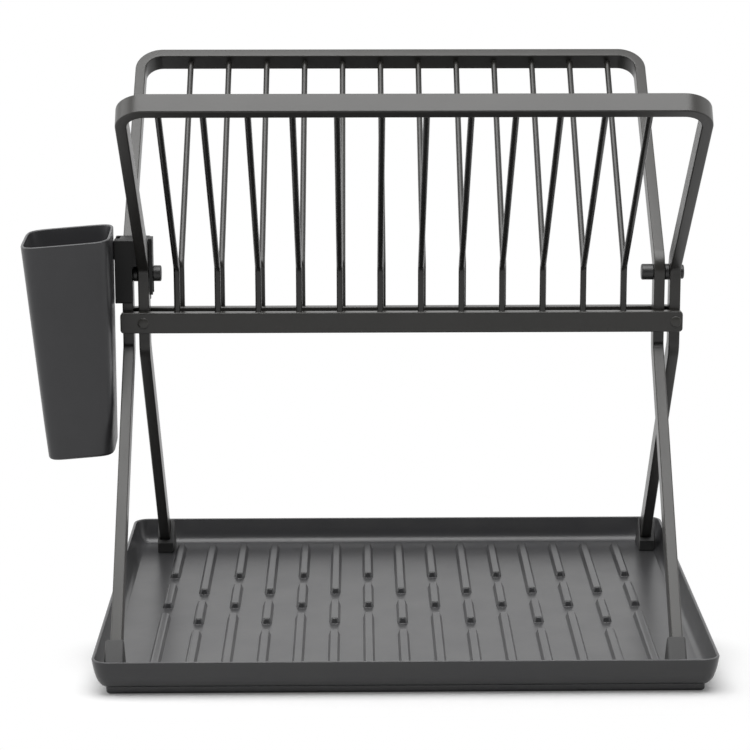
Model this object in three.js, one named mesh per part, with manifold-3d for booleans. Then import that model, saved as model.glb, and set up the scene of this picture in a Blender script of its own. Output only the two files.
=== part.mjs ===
// Folding dish rack: two crossed tube frames with plate wires, standing in a drip tray.
// A cutlery cup hangs on the left side. Millimetres, +Z up, the front is towards -Y, and the
// origin is the middle of the tray's underside.

import * as THREE from 'three';
import Module from 'manifold-3d';

const wasm = await Module();
wasm.setup();
const { Manifold, Mesh } = wasm;

// Clearances between separate pieces
const SEAT_GAP = 0.3; // between two pieces that touch
const RUNNING_GAP = 0.09; // radial, pin in its hole
const RIVET_GAP = 0.2; // radial, rivet in its hole
const SLIDE_GAP = 0.35; // cup rail in the hanger
const CUT_OVERRUN = 20; // how far a cutter runs past what it cuts
const WELD = 0.0001; // corners nearer than this become one

// Drip tray
const TRAY_WIDTH = 436.6; // rim to rim along X
const TRAY_DEPTH = 375.4; // rim to rim along Y
const TRAY_HEIGHT = 26.3;
const TRAY_WALL = 2.2;
const TRAY_FLARE = 9.7; // how far the rim stands out past the plinth
const TRAY_CORNER = 12; // radius of the rim's corners, seen from above
const TRAY_CORNER_STEPS = 5;
const RIM_EDGE = 0.7; // rounding of the rim's two edges
const PLINTH_HEIGHT = 5.5;
const PLINTH_EDGE = 2.4; // rounding of the plinth's lower edge
const FLOOR_THICKNESS = 2.2;
// Outside of the bowl: share of the height above the plinth, then share of the flare still left
const BOWL_SHARES = [
  [0, 1],
  [0.03, 0.86],
  [0.1, 0.64],
  [0.22, 0.44],
  [0.4, 0.27],
  [0.65, 0.13],
  [1, 0],
];
const POCKET_EDGE = 12; // solid margin around the hollows under the floor
const POCKET_WEB = 26; // solid cross between the hollows, which carries the origin
const POCKET_CORNER = 10;
const POCKET_CORNER_STEPS = 4;

// Raised ribs on the tray floor, spread between the foot caps
const RIB_COUNT = 15;
const RIB_WIDTH = 7.6;
const RIB_HEIGHT = 4;
// Section of a rib above its root: share of the height, then share of the width
const RIB_SECTION_SHARES = [
  [0.45, 1],
  [0.82, 0.74],
  [1, 0.36],
];
const RIB_END_STEPS = 2;
const RIB_END_MARGIN = 17; // from a rib's end to the edge of the floor
const RIB_CAP_ROOM = 1.9; // from the outermost rib to the foot caps
// Ends of the drain gaps along a rib, as shares of the reach, for every other rib in turn
const RIB_GAP_SHARES = [
  [[-0.164, -0.024], [0.314, 0.466]],
  [[-0.419, -0.271], [0.039, 0.199]],
];

// Tube frames: an upside-down U each, bent so that they cross below the plates
const TUBE_DEPTH = 14.5; // along Y where the legs are upright
const TUBE_WIDTH = 8; // along X in the legs
const TUBE_EDGE = 1.3; // edge rounding
const TUBE_EDGE_STEPS = 2;
const LEG_SPACING = 3.8; // clear space between the two legs on one side
const LEG_SIDE_ROOM = 1.8; // from the outer legs to the edge of the floor
const KNEE_HEIGHT = 202.3; // lower bend above the tray floor
const KNEE_LENGTH = 62.2; // upright stretch between the bends
const TOP_TILT = 51.2; // degrees from upright, above the pivot
const TOP_REACH = 221.5; // from the upper bend to the outside of the top bar
const BEND_RADIUS = 14; // middle of the tube
const BEND_STEPS = 5;
const CORNER_RADIUS = 17; // middle of the tube at the top corners
const CORNER_STEPS = 8;

// Foot caps, which stand in the corners of the tray floor
const CAP_CHEEK = 1.4; // wall beside the leg, towards the other frame's leg
const CAP_THICK_CHEEK = 3.2; // wall on the leg's other side
const CAP_SOLE = 2; // wall under the leg
const CAP_TOE_WALL = 0.7; // outside the leg's end
const CAP_TOE_HEIGHT = 2.7; // upright part of the outer face
const CAP_TOP_WALL = 1.6; // outside the leg at the cap's highest point
const CAP_TALL_HEIGHT = 25.6;
const CAP_INNER_WALL = 9.05; // foot of the wall towards the middle
const CAP_LOW_HEIGHT = 8.2;
const CAP_EDGE = 0.8;
const CAP_BOWL_RUN = 2.2; // slope under the thick cheek, which clears the tray's wall
const CAP_BOWL_RISE = 1.5;
const CAP_CORNER_SHARE = 0.5; // room at the outer end, over the radius of the floor's corner

// Crossbars, one riveted to each frame
const BAR_RISE = 20.9; // middle of the bar above the lower bend
const BAR_OVERHANG = 1.2; // past the outermost leg
const BAR_HEIGHT = 15.4;
const BAR_DEPTH = 7.5;
const BAR_CORNER = 2.6;
const BAR_CORNER_STEPS = 4;
const BAR_EDGE = 0.9;
const BAR_EDGE_STEPS = 2;
const RIVET_RADIUS = 2;
const RIVET_HEAD_RADIUS = 3.4;
const RIVET_HEAD_HEIGHT = 0.8;
const RIVET_END_GAP = 0.5; // the shank stops this far inside the leg's far face

// Plate wires
const WIRE_COUNT = 12;
const WIRE_RADIUS = 2.1;
const WIRE_END_ROOM = 22; // from the middle of the last wire to the nearer leg
const WIRE_SHIFT = 1; // sideways, front wires to the left and back wires to the right
const WIRE_BEND_DROP = 0.8; // below the upper bend of the tubes
const WIRE_BEND_RADIUS = 9;
const WIRE_BEND_STEPS = 3;
const WIRE_SIDES = 10;
const WIRE_END_GAP = 0.4; // measured along the wire

// Pivot pins through the legs
const PIVOT_DROP = 6.3; // below the upper bend
const PIN_RADIUS = 3;
const PIN_HEAD_RADIUS = 5.3;
const PIN_HEAD_LENGTH = 2.4;
const KNOB_RADIUS = 5.9;
const KNOB_REACH = 8.7; // from the inner leg to the knob's end
const KNOB_EDGE = 1;
const COLLAR_RADIUS = 4; // thinner neck of the knob on the hanger's side
const COLLAR_ROOM = 0.5; // beyond the hanger's lip
const SPACER_RADIUS = 6;
const TURNED_SIDES = 24;
const SMALL_SIDES = 14; // rivets and small holes

// Cup hanger, a saddle in the notch of the left legs
const HANGER_RISE = 20.5; // above the upper bend
const HANGER_BAR_ROOM = 6.3; // above the crossbars
const HANGER_LIP_RISE = 5.9; // lower edge of the inner lip above that of the hanger
const HANGER_LIP = 2.6; // thickness of the lip inside the legs
const HANGER_LIP_WALL = 2; // lip beside the slot for the pin's collar
const HANGER_LEG_GAP = 0.4; // to the sides and sloping faces of the legs
const HANGER_SWING_GAP = 1.6; // to the upright faces, for the legs to start turning
const HANGER_WALL = 2.05; // outside the upright faces
const HANGER_EDGE_RADIUS = 1.6;
const HANGER_EDGE_STEPS = 3;
const PIN_SLOT_GAP = 0.6;

// Rail on the cup that drops into the hanger
const RAIL_SHIFT = 1; // middle of the rail behind the hanger's middle
const RAIL_TOP_DROP = 2.7; // below the hanger's top
const RAIL_HEIGHT = 13.6;
const RAIL_NECK_HALF = 2.5;
const RAIL_FLANGE_HALF = 6;
const RAIL_FLANGE_THICKNESS = 1.4;
const RAIL_LIP = 1.3; // hanger lips that hold the rail's flange
const RAIL_BACK_WALL = 1; // hanger behind the flange

// Cutlery cup
const CUP_TOP_HALF_X = 32.6;
const CUP_TOP_HALF_Y = 34.2;
const CUP_BOTTOM_HALF_X = 24.6;
const CUP_BOTTOM_HALF_Y = 26.6;
const CUP_HEIGHT = 160.2;
const CUP_RIM_RISE = 4.7; // middle of the rim above the hanger's top
const CUP_FORWARD = 21.5; // middle of the cup in front of its rail
const CUP_TOP_GAP = 0.4; // rim to hanger
const CUP_BOTTOM_GAP = 0.6; // foot set out from the hanger's face
const CUP_LEAN = 4.5; // degrees, the inner side hangs higher
const CUP_TURN = 3.4; // degrees about Z
const CUP_SQUARENESS = 5; // superellipse power of the outline
const CUP_WALL = 2;
const CUP_FLOOR = 2.6;
const CUP_EDGE = 2.6; // rounding of the lower edge
const CUP_SIDES = 48;
const CUP_DRAIN_RADIUS = 2.2;
const CUP_DRAIN_RING_SHARE = 0.5; // radius of the ring of drain holes over the half width
const CUP_DRAIN_COUNT = 6;

const COLOURS = {
  tray: '#4b4b4c',
  tube: '#494845',
  wire: '#3f3e3c',
  fitting: '#1f1f1f',
  cap: '#2c2c2c',
  cup: '#434345',
};

const UP = new THREE.Vector3(0, 0, 1);
const RIGHT = new THREE.Vector3(1, 0, 0);
const BACK = new THREE.Vector3(0, 1, 0);
const radians = THREE.MathUtils.degToRad;
const tiltRad = radians(TOP_TILT);
const halfTubeDepth = TUBE_DEPTH / 2;
const halfTubeWidth = TUBE_WIDTH / 2;

// Tray floor
const floorZ = PLINTH_HEIGHT + FLOOR_THICKNESS;
const floorHalfX = TRAY_WIDTH / 2 - TRAY_FLARE;
const floorHalfY = TRAY_DEPTH / 2 - TRAY_FLARE;
const floorCorner = Math.max(TRAY_CORNER - TRAY_FLARE, TRAY_WALL);

// Legs, placed from the edge of the floor
const outerLegX = floorHalfX - LEG_SIDE_ROOM - halfTubeWidth;
const innerLegX = outerLegX - TUBE_WIDTH - LEG_SPACING;
const legX = (outerLegX + innerLegX) / 2; // middle of a leg in its own frame
const frameShift = (outerLegX - innerLegX) / 2; // each frame stands this far to its own side
const lowerBendZ = floorZ + KNEE_HEIGHT;
const upperBendZ = lowerBendZ + KNEE_LENGTH;
const pivotZ = upperBendZ - PIVOT_DROP;

// Feet: the lower legs splay so that their outer faces meet the toes of the caps
const capBaseZ = floorZ + SEAT_GAP;
const footCutZ = capBaseZ + CAP_SOLE + SEAT_GAP; // level end of each leg
const footDrop = lowerBendZ - footCutZ;
const capOuterY = floorHalfY - floorCorner * CAP_CORNER_SHARE;
const toeY = capOuterY - CAP_TOE_WALL;
const footFace = halfTubeDepth + SEAT_GAP; // from the leg's middle line to the cap's inside
const splayRad = Math.atan2(toeY, footDrop) - Math.asin(footFace / Math.hypot(toeY, footDrop));
const footY = footDrop * Math.tan(splayRad);
const capInnerY = footY - footFace / Math.cos(splayRad) - CAP_INNER_WALL;

// Crossbars and wires
const barY = halfTubeDepth + SEAT_GAP + BAR_DEPTH / 2;
const barZ = lowerBendZ + BAR_RISE;
const barHalf = outerLegX + halfTubeWidth + BAR_OVERHANG;
const wirePitch = 2 * (innerLegX - halfTubeWidth - WIRE_END_ROOM) / (WIRE_COUNT - 1);

// Hanger and cup
const hangerTopZ = upperBendZ + HANGER_RISE;
const hangerBottomZ = barZ + BAR_HEIGHT / 2 + HANGER_BAR_ROOM;
const hangerHalfY = halfTubeDepth + HANGER_SWING_GAP + HANGER_WALL;
const hangerInnerX = -outerLegX - halfTubeWidth - HANGER_LEG_GAP; // plate's face at the outer leg
const hangerOuterX = hangerInnerX - RAIL_BACK_WALL - RAIL_FLANGE_THICKNESS - 2 * SLIDE_GAP - RAIL_LIP;
const railTopZ = hangerTopZ - RAIL_TOP_DROP;
const railBottomZ = railTopZ - RAIL_HEIGHT;
const cupTop = {
  x: hangerOuterX - CUP_TOP_GAP - CUP_TOP_HALF_X,
  z: hangerTopZ + CUP_RIM_RISE,
  halfX: CUP_TOP_HALF_X,
  halfY: CUP_TOP_HALF_Y,
};
const cupBottom = {
  x: hangerOuterX - CUP_BOTTOM_GAP - CUP_BOTTOM_HALF_X,
  z: cupTop.z - CUP_HEIGHT,
  halfX: CUP_BOTTOM_HALF_X,
  halfY: CUP_BOTTOM_HALF_Y,
};
const cupY = RAIL_SHIFT - CUP_FORWARD;

// Solids

/** Closed solid from a geometry: corners that coincide become one, and it faces out. */
function solidFrom(geometry) {
  const place = geometry.getAttribute('position');
  const numbers = new Map();
  const positions = [];
  const corners = [];
  for (let i = 0; i < place.count; i += 1) {
    const point = [place.getX(i), place.getY(i), place.getZ(i)].map((v) => Math.round(v / WELD) * WELD);
    const key = point.join();
    if (!numbers.has(key)) {
      numbers.set(key, numbers.size);
      positions.push(new THREE.Vector3(...point));
    }
    corners.push(numbers.get(key));
  }
  const index = geometry.index ? Array.from(geometry.index.array, (i) => corners[i]) : corners;
  const triangles = [];
  let volume = 0;
  for (let i = 0; i < index.length; i += 3) {
    const [a, b, c] = index.slice(i, i + 3);
    if (a !== b && b !== c && c !== a) {
      triangles.push(a, b, c);
      volume += positions[a].dot(positions[b].clone().cross(positions[c]));
    }
  }
  return new Manifold(new Mesh({
    numProp: 3,
    vertProperties: new Float32Array(positions.flatMap((p) => p.toArray())),
    triVerts: new Uint32Array(volume < 0 ? triangles.reverse() : triangles),
  }));
}

/** Closed skin through a row of equal rings, with flat ends. */
function loft(rings) {
  const around = rings[0].length;
  const index = [];
  for (let ring = 0; ring + 1 < rings.length; ring += 1) {
    for (let side = 0; side < around; side += 1) {
      const next = (side + 1) % around;
      const a = ring * around + side;
      const b = ring * around + next;
      index.push(a, b, b + around, a, b + around, a + around);
    }
  }
  const last = (rings.length - 1) * around;
  for (let side = 1; side + 1 < around; side += 1) {
    index.push(0, side + 1, side);
    index.push(last, last + side, last + side + 1);
  }
  return solidFrom(new THREE.BufferGeometry().setFromPoints(rings.flat()).setIndex(index));
}

/** Corners of a rounded rectangle around its middle, as [across, along]. */
function roundedRectangle(halfA, halfB, radius, steps) {
  const corners = [[1, 1], [-1, 1], [-1, -1], [1, -1]];
  const points = [];
  corners.forEach(([signA, signB], quarter) => {
    for (let step = 0; step <= steps; step += 1) {
      const angle = (Math.PI / 2) * (quarter + step / steps);
      points.push([
        signA * (halfA - radius) + radius * Math.cos(angle),
        signB * (halfB - radius) + radius * Math.sin(angle),
      ]);
    }
  });
  return points;
}

/** Outline of [across, along] points as a shape. */
function shapeOf(points) {
  return new THREE.Shape(points.map(([across, along]) => new THREE.Vector2(across, along)));
}

/** Outline in Y and Z, drawn out along X. */
function slab(outline, fromX, toX) {
  const geometry = new THREE.ExtrudeGeometry(shapeOf(outline), {
    depth: toX - fromX,
    bevelEnabled: false,
  });
  geometry.applyMatrix4(new THREE.Matrix4().makeBasis(BACK, UP, RIGHT));
  return solidFrom(geometry.translate(fromX, 0, 0));
}

/** Box from its lowest to its highest corner. */
function box([lowX, lowY, lowZ], [highX, highY, highZ]) {
  const outline = [[lowY, lowZ], [highY, lowZ], [highY, highZ], [lowY, highZ]];
  return slab(outline, lowX, highX);
}

/** Turned piece: a profile of [distance along the axis, radius] from a start point. */
function turned(start, axis, stations, sides = TURNED_SIDES) {
  const [from] = stations[0];
  const [to] = stations[stations.length - 1];
  const profile = [[from, 0], ...stations, [to, 0]]
    .map(([distance, radius]) => new THREE.Vector2(radius, distance));
  const geometry = new THREE.LatheGeometry(profile, sides);
  geometry.applyQuaternion(new THREE.Quaternion().setFromUnitVectors(BACK, axis));
  return solidFrom(geometry.translate(start.x, start.y, start.z));
}

/** Path in Y and Z through the given corners, with a round bend at each inner one. */
function bentPath(corners, radius, steps) {
  const path = [{ point: corners[0], direction: corners[1].clone().sub(corners[0]).normalize() }];
  for (let i = 1; i + 1 < corners.length; i += 1) {
    const before = corners[i].clone().sub(corners[i - 1]).normalize();
    const after = corners[i + 1].clone().sub(corners[i]).normalize();
    const turn = Math.atan2(before.x * after.y - before.y * after.x, before.dot(after));
    const reach = radius * Math.tan(Math.abs(turn) / 2);
    const start = corners[i].clone().addScaledVector(before, -reach);
    const inward = new THREE.Vector2(-before.y, before.x).multiplyScalar(Math.sign(turn));
    const centre = start.clone().addScaledVector(inward, radius);
    for (let step = 0; step <= steps; step += 1) {
      const angle = (turn * step) / steps;
      path.push({
        point: start.clone().rotateAround(centre, angle),
        direction: before.clone().rotateAround(new THREE.Vector2(), angle),
      });
    }
  }
  const end = corners.length - 1;
  const direction = corners[end].clone().sub(corners[end - 1]).normalize();
  path.push({ point: corners[end], direction });
  return path;
}

/** Named mesh with its own material. */
function piece(name, solid, colour, roughness, metalness) {
  const mesh = solid.getMesh();
  const geometry = new THREE.BufferGeometry();
  geometry.setAttribute('position', new THREE.BufferAttribute(mesh.vertProperties, mesh.numProp));
  geometry.setIndex(new THREE.BufferAttribute(mesh.triVerts, 1));
  geometry.computeVertexNormals();
  const material = new THREE.MeshStandardMaterial({ color: colour, roughness, metalness });
  const result = new THREE.Mesh(geometry, material);
  result.name = name;
  return result;
}

/** Group of pieces that move together. */
function groupOf(name, ...pieces) {
  const group = new THREE.Group();
  group.name = name;
  return group.add(...pieces);
}

// Drip tray

/** Level ring of the tray's outline, set in from the rim. */
function trayRing(inset, z) {
  const radius = Math.max(TRAY_CORNER - inset, TRAY_WALL);
  return roundedRectangle(TRAY_WIDTH / 2 - inset, TRAY_DEPTH / 2 - inset, radius, TRAY_CORNER_STEPS)
    .map(([x, y]) => new THREE.Vector3(x, y, z));
}

/** Wall, rim, plinth and floor in one skin. */
function trayBody() {
  const bowlHeight = TRAY_HEIGHT - RIM_EDGE - PLINTH_HEIGHT;
  const outside = BOWL_SHARES.map(([up, left]) => (
    trayRing(TRAY_FLARE * left, PLINTH_HEIGHT + bowlHeight * up)));
  const innerHeight = TRAY_HEIGHT - RIM_EDGE - floorZ;
  const inside = BOWL_SHARES.slice().reverse().map(([up, left]) => (
    trayRing((TRAY_FLARE - TRAY_WALL) * left + TRAY_WALL, floorZ + innerHeight * up)));
  return loft([
    trayRing(TRAY_FLARE + PLINTH_EDGE, 0),
    trayRing(TRAY_FLARE + PLINTH_EDGE * (1 - Math.SQRT1_2), PLINTH_EDGE * (1 - Math.SQRT1_2)),
    trayRing(TRAY_FLARE, PLINTH_EDGE),
    ...outside,
    trayRing(RIM_EDGE, TRAY_HEIGHT),
    trayRing(TRAY_WALL - RIM_EDGE, TRAY_HEIGHT),
    ...inside,
  ]);
}

/** Rounded hollow under one quarter of the floor. */
function floorPocket(signX, signY) {
  const halfX = (floorHalfX - POCKET_EDGE - POCKET_WEB / 2) / 2;
  const halfY = (floorHalfY - POCKET_EDGE - POCKET_WEB / 2) / 2;
  const shape = shapeOf(roundedRectangle(halfX, halfY, POCKET_CORNER, POCKET_CORNER_STEPS));
  const geometry = new THREE.ExtrudeGeometry(shape, {
    depth: CUT_OVERRUN + PLINTH_HEIGHT,
    bevelEnabled: false,
  });
  const x = signX * (POCKET_WEB / 2 + halfX);
  const y = signY * (POCKET_WEB / 2 + halfY);
  return solidFrom(geometry.translate(x, y, -CUT_OVERRUN));
}

/** One raised stretch of a rib, round on top and at its ends, rooted in the floor. */
function ribStretch(x, fromY, toY) {
  const middle = (fromY + toY) / 2;
  const straight = (toY - fromY - RIB_WIDTH) / 2; // from the middle to where an end starts to round
  const ring = (share, z) => {
    const half = (RIB_WIDTH / 2) * share;
    return roundedRectangle(half, straight + half, half, RIB_END_STEPS)
      .map(([dx, dy]) => new THREE.Vector3(x + dx, middle + dy, z));
  };
  return loft([
    ring(1, floorZ - FLOOR_THICKNESS / 2),
    ...RIB_SECTION_SHARES.map(([up, wide]) => ring(wide, floorZ + RIB_HEIGHT * up)),
  ]);
}

/** Every rib with its drain gaps. */
function ribStretches() {
  const stretches = [];
  const capFace = innerLegX - halfTubeWidth - SEAT_GAP - CAP_THICK_CHEEK;
  const outermost = capFace - RIB_CAP_ROOM - RIB_WIDTH / 2;
  const pitch = 2 * outermost / (RIB_COUNT - 1);
  const reach = floorHalfY - RIB_END_MARGIN;
  for (let rib = 0; rib < RIB_COUNT; rib += 1) {
    const x = rib * pitch - outermost;
    const gaps = RIB_GAP_SHARES[rib % RIB_GAP_SHARES.length];
    let from = -reach;
    gaps.forEach(([start, end]) => {
      stretches.push(ribStretch(x, from, start * reach));
      from = end * reach;
    });
    stretches.push(ribStretch(x, from, reach));
  }
  return stretches;
}

function dripTray() {
  const pockets = [[1, 1], [-1, 1], [-1, -1], [1, -1]].map(([x, y]) => floorPocket(x, y));
  const solid = Manifold.union([trayBody(), ...ribStretches()]).subtract(Manifold.union(pockets));
  return piece('drip_tray', solid, COLOURS.tray, 0.5, 0);
}

// Frames. A frame is made as the front one, about the middle between its own legs: its top
// leans to the front and its feet stand at the back. The back frame is the same turned round.

/** Foot, lower bend, upper bend and top of a leg's middle line. */
function legCorners(topReach) {
  return [
    new THREE.Vector2(footY, footCutZ),
    new THREE.Vector2(0, lowerBendZ),
    new THREE.Vector2(0, upperBendZ),
    new THREE.Vector2(-Math.sin(tiltRad) * topReach, upperBendZ + Math.cos(tiltRad) * topReach),
  ];
}

/** Ring of the tube: middle, direction across the tube and direction along its depth. */
function tubeRing(centre, across, deep) {
  return roundedRectangle(halfTubeWidth, halfTubeDepth, TUBE_EDGE, TUBE_EDGE_STEPS).map(([a, d]) => (
    centre.clone().addScaledVector(across, a).addScaledVector(deep, d)));
}

/** Rings up one leg, sign being -1 for the left leg and 1 for the right one. */
function legRings(sign) {
  const cornerStart = TOP_REACH - halfTubeWidth - CORNER_RADIUS;
  const path = bentPath(legCorners(cornerStart), BEND_RADIUS, BEND_STEPS);
  return path.map(({ point, direction }, i) => {
    const centre = new THREE.Vector3(sign * legX, point.x, point.y);
    const deep = new THREE.Vector3(0, -direction.y, direction.x);
    if (i === 0) {
      deep.set(0, -1 / Math.cos(splayRad), 0); // the foot is cut level
    }
    return tubeRing(centre, RIGHT.clone().multiplyScalar(-sign), deep);
  });
}

/** The bent tube, foot to foot. */
function frameTube() {
  const along = new THREE.Vector3(0, -Math.sin(tiltRad), Math.cos(tiltRad));
  const deep = new THREE.Vector3(0, -along.z, along.y);
  const bend = new THREE.Vector3(0, 0, upperBendZ);
  const cornerStart = TOP_REACH - halfTubeWidth - CORNER_RADIUS;
  const corner = (sign) => {
    const centre = bend.clone().addScaledVector(along, cornerStart)
      .addScaledVector(RIGHT, sign * (legX - CORNER_RADIUS));
    const rings = [];
    for (let step = 1; step <= CORNER_STEPS; step += 1) {
      const angle = (Math.PI / 2) * (step / CORNER_STEPS);
      const outward = RIGHT.clone().multiplyScalar(sign * Math.cos(angle))
        .addScaledVector(along, Math.sin(angle));
      const middle = centre.clone().addScaledVector(outward, CORNER_RADIUS);
      rings.push(tubeRing(middle, outward.clone().negate(), deep));
    }
    return rings;
  };
  return loft([
    ...legRings(-1),
    ...corner(-1),
    ...corner(1).reverse(),
    ...legRings(1).reverse(),
  ]);
}

/** Frame with its holes for the pivot pins and its crossbar's rivets. */
function frame(name) {
  const reach = legX + CUT_OVERRUN;
  const pivotHole = turned(new THREE.Vector3(-reach, 0, pivotZ), RIGHT,
    [[0, PIN_RADIUS + RUNNING_GAP], [2 * reach, PIN_RADIUS + RUNNING_GAP]]);
  const holes = [pivotHole, rivetHole(-legX, barZ), rivetHole(legX, barZ)];
  return piece(name, frameTube().subtract(Manifold.union(holes)), COLOURS.tube, 0.45, 0.3);
}

// Crossbars and rivets

/** Cutter for a rivet's hole through leg and crossbar. */
function rivetHole(x, z) {
  const start = new THREE.Vector3(x, -barY - CUT_OVERRUN, z);
  const radius = RIVET_RADIUS + RIVET_GAP;
  return turned(start, BACK, [[0, radius], [2 * (barY + CUT_OVERRUN), radius]], SMALL_SIDES);
}

/** Bar about its own middle, which stands halfway between the outermost legs of the two frames. */
function crossbar(name) {
  const outline = roundedRectangle(barHalf, BAR_HEIGHT / 2, BAR_CORNER, BAR_CORNER_STEPS);
  const geometry = new THREE.ExtrudeGeometry(shapeOf(outline), {
    depth: BAR_DEPTH - 2 * BAR_EDGE,
    bevelThickness: BAR_EDGE,
    bevelSize: BAR_EDGE,
    bevelOffset: -BAR_EDGE,
    bevelSegments: BAR_EDGE_STEPS,
  });
  geometry.rotateX(Math.PI / 2).translate(0, BAR_DEPTH / 2 - BAR_EDGE, 0);
  const holes = [rivetHole(frameShift - legX, 0), rivetHole(frameShift + legX, 0)];
  const solid = solidFrom(geometry).subtract(Manifold.union(holes));
  const bar = piece(name, solid, COLOURS.tube, 0.45, 0.3);
  bar.position.set(-frameShift, -barY, barZ);
  return bar;
}

function rivet(name, x) {
  const faceY = halfTubeDepth + SEAT_GAP + BAR_DEPTH + SEAT_GAP;
  const length = faceY + RIVET_HEAD_HEIGHT + halfTubeDepth - RIVET_END_GAP;
  const solid = turned(new THREE.Vector3(), BACK, [
    [0, RIVET_HEAD_RADIUS - RIVET_HEAD_HEIGHT],
    [RIVET_HEAD_HEIGHT / 2, RIVET_HEAD_RADIUS - RIVET_HEAD_HEIGHT / 4],
    [RIVET_HEAD_HEIGHT, RIVET_HEAD_RADIUS],
    [RIVET_HEAD_HEIGHT, RIVET_RADIUS],
    [length, RIVET_RADIUS],
  ], SMALL_SIDES);
  const result = piece(name, solid, COLOURS.tube, 0.45, 0.3);
  result.position.set(x, -faceY - RIVET_HEAD_HEIGHT, barZ);
  return result;
}

// Plate wires

/** Bent wire from the crossbar up to the inside of the top bar. */
function wireSolid() {
  const foot = new THREE.Vector2(-barY, barZ + BAR_HEIGHT / 2 + WIRE_END_GAP);
  const bend = new THREE.Vector2(-barY, upperBendZ - WIRE_BEND_DROP);
  const inside = TOP_REACH - TUBE_WIDTH;
  const seat = new THREE.Vector2(-Math.sin(tiltRad) * inside, upperBendZ + Math.cos(tiltRad) * inside);
  const towards = seat.clone().sub(bend).normalize();
  const top = seat.addScaledVector(towards, -WIRE_END_GAP);
  const path = bentPath([foot, bend, top], WIRE_BEND_RADIUS, WIRE_BEND_STEPS);
  return loft(path.map(({ point, direction }) => {
    const deep = new THREE.Vector3(0, -direction.y, direction.x);
    const ring = [];
    for (let i = 0; i < WIRE_SIDES; i += 1) {
      const angle = (2 * Math.PI * i) / WIRE_SIDES;
      ring.push(new THREE.Vector3(0, point.x, point.y)
        .addScaledVector(RIGHT, WIRE_RADIUS * Math.cos(angle))
        .addScaledVector(deep, WIRE_RADIUS * Math.sin(angle)));
    }
    return ring;
  }));
}

/** The row of wires, numbered from the viewer's left once the frame stands in its place. */
function wires(prefix, turnedRound) {
  const solid = wireSolid();
  const row = [];
  for (let i = 0; i < WIRE_COUNT; i += 1) {
    const number = turnedRound ? WIRE_COUNT - i : i + 1;
    const wire = piece(`${prefix}_${String(number).padStart(2, '0')}`, solid, COLOURS.wire, 0.45, 0.3);
    wire.position.x = (i - (WIRE_COUNT - 1) / 2) * wirePitch - WIRE_SHIFT - frameShift;
    row.push(wire);
  }
  return row;
}

// Pivot pins and spacers

/** Pin through both legs on one side: outer head, shank, collar and knob. */
function pivotPin(name, side, collarLength) {
  const outerFace = outerLegX + halfTubeWidth + SEAT_GAP;
  const innerFace = innerLegX - halfTubeWidth - SEAT_GAP;
  const along = (x) => outerFace + PIN_HEAD_LENGTH - x;
  const knobStart = along(innerFace - collarLength);
  const knobEnd = along(innerFace - KNOB_REACH);
  const stations = [
    [0, PIN_HEAD_RADIUS - KNOB_EDGE],
    [KNOB_EDGE, PIN_HEAD_RADIUS],
    [PIN_HEAD_LENGTH, PIN_HEAD_RADIUS],
    [PIN_HEAD_LENGTH, PIN_RADIUS],
    [along(innerFace), PIN_RADIUS],
  ];
  if (collarLength > 0) {
    stations.push([along(innerFace), COLLAR_RADIUS], [knobStart, COLLAR_RADIUS]);
  }
  stations.push(
    [knobStart, KNOB_RADIUS],
    [knobEnd - KNOB_EDGE, KNOB_RADIUS],
    [knobEnd, KNOB_RADIUS - KNOB_EDGE],
  );
  const solid = turned(new THREE.Vector3(), RIGHT.clone().multiplyScalar(-side), stations);
  const pin = piece(name, solid, COLOURS.fitting, 0.5, 0);
  pin.position.x = side * (outerFace + PIN_HEAD_LENGTH);
  return pin;
}

/** Ring on the pin that keeps the two legs apart. */
function pivotSpacer(name, side) {
  const length = LEG_SPACING - 2 * SEAT_GAP;
  const start = new THREE.Vector3(-length / 2, 0, 0);
  const ring = turned(start, RIGHT, [[0, SPACER_RADIUS], [length, SPACER_RADIUS]]);
  const holeRadius = PIN_RADIUS + RUNNING_GAP;
  const hole = turned(start, RIGHT, [[-length, holeRadius], [2 * length, holeRadius]]);
  const spacer = piece(name, ring.subtract(hole), COLOURS.fitting, 0.5, 0);
  spacer.position.x = side * legX;
  return spacer;
}

// Foot caps

/** Outer face of the room for a leg in its cap, at a height. */
function toeFace(z) {
  return toeY - (z - footCutZ) * Math.tan(splayRad);
}

/** Room in the cap for a leg's lower part, long enough to cut with. */
function footRoom() {
  const across = 2 * footFace / Math.cos(splayRad);
  const low = footCutZ - SEAT_GAP;
  const outline = [
    [toeFace(low) - across, low],
    [toeFace(low), low],
    [toeFace(lowerBendZ), lowerBendZ],
    [toeFace(lowerBendZ) - across, lowerBendZ],
  ];
  return slab(outline, -halfTubeWidth - SEAT_GAP, halfTubeWidth + SEAT_GAP);
}

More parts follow.
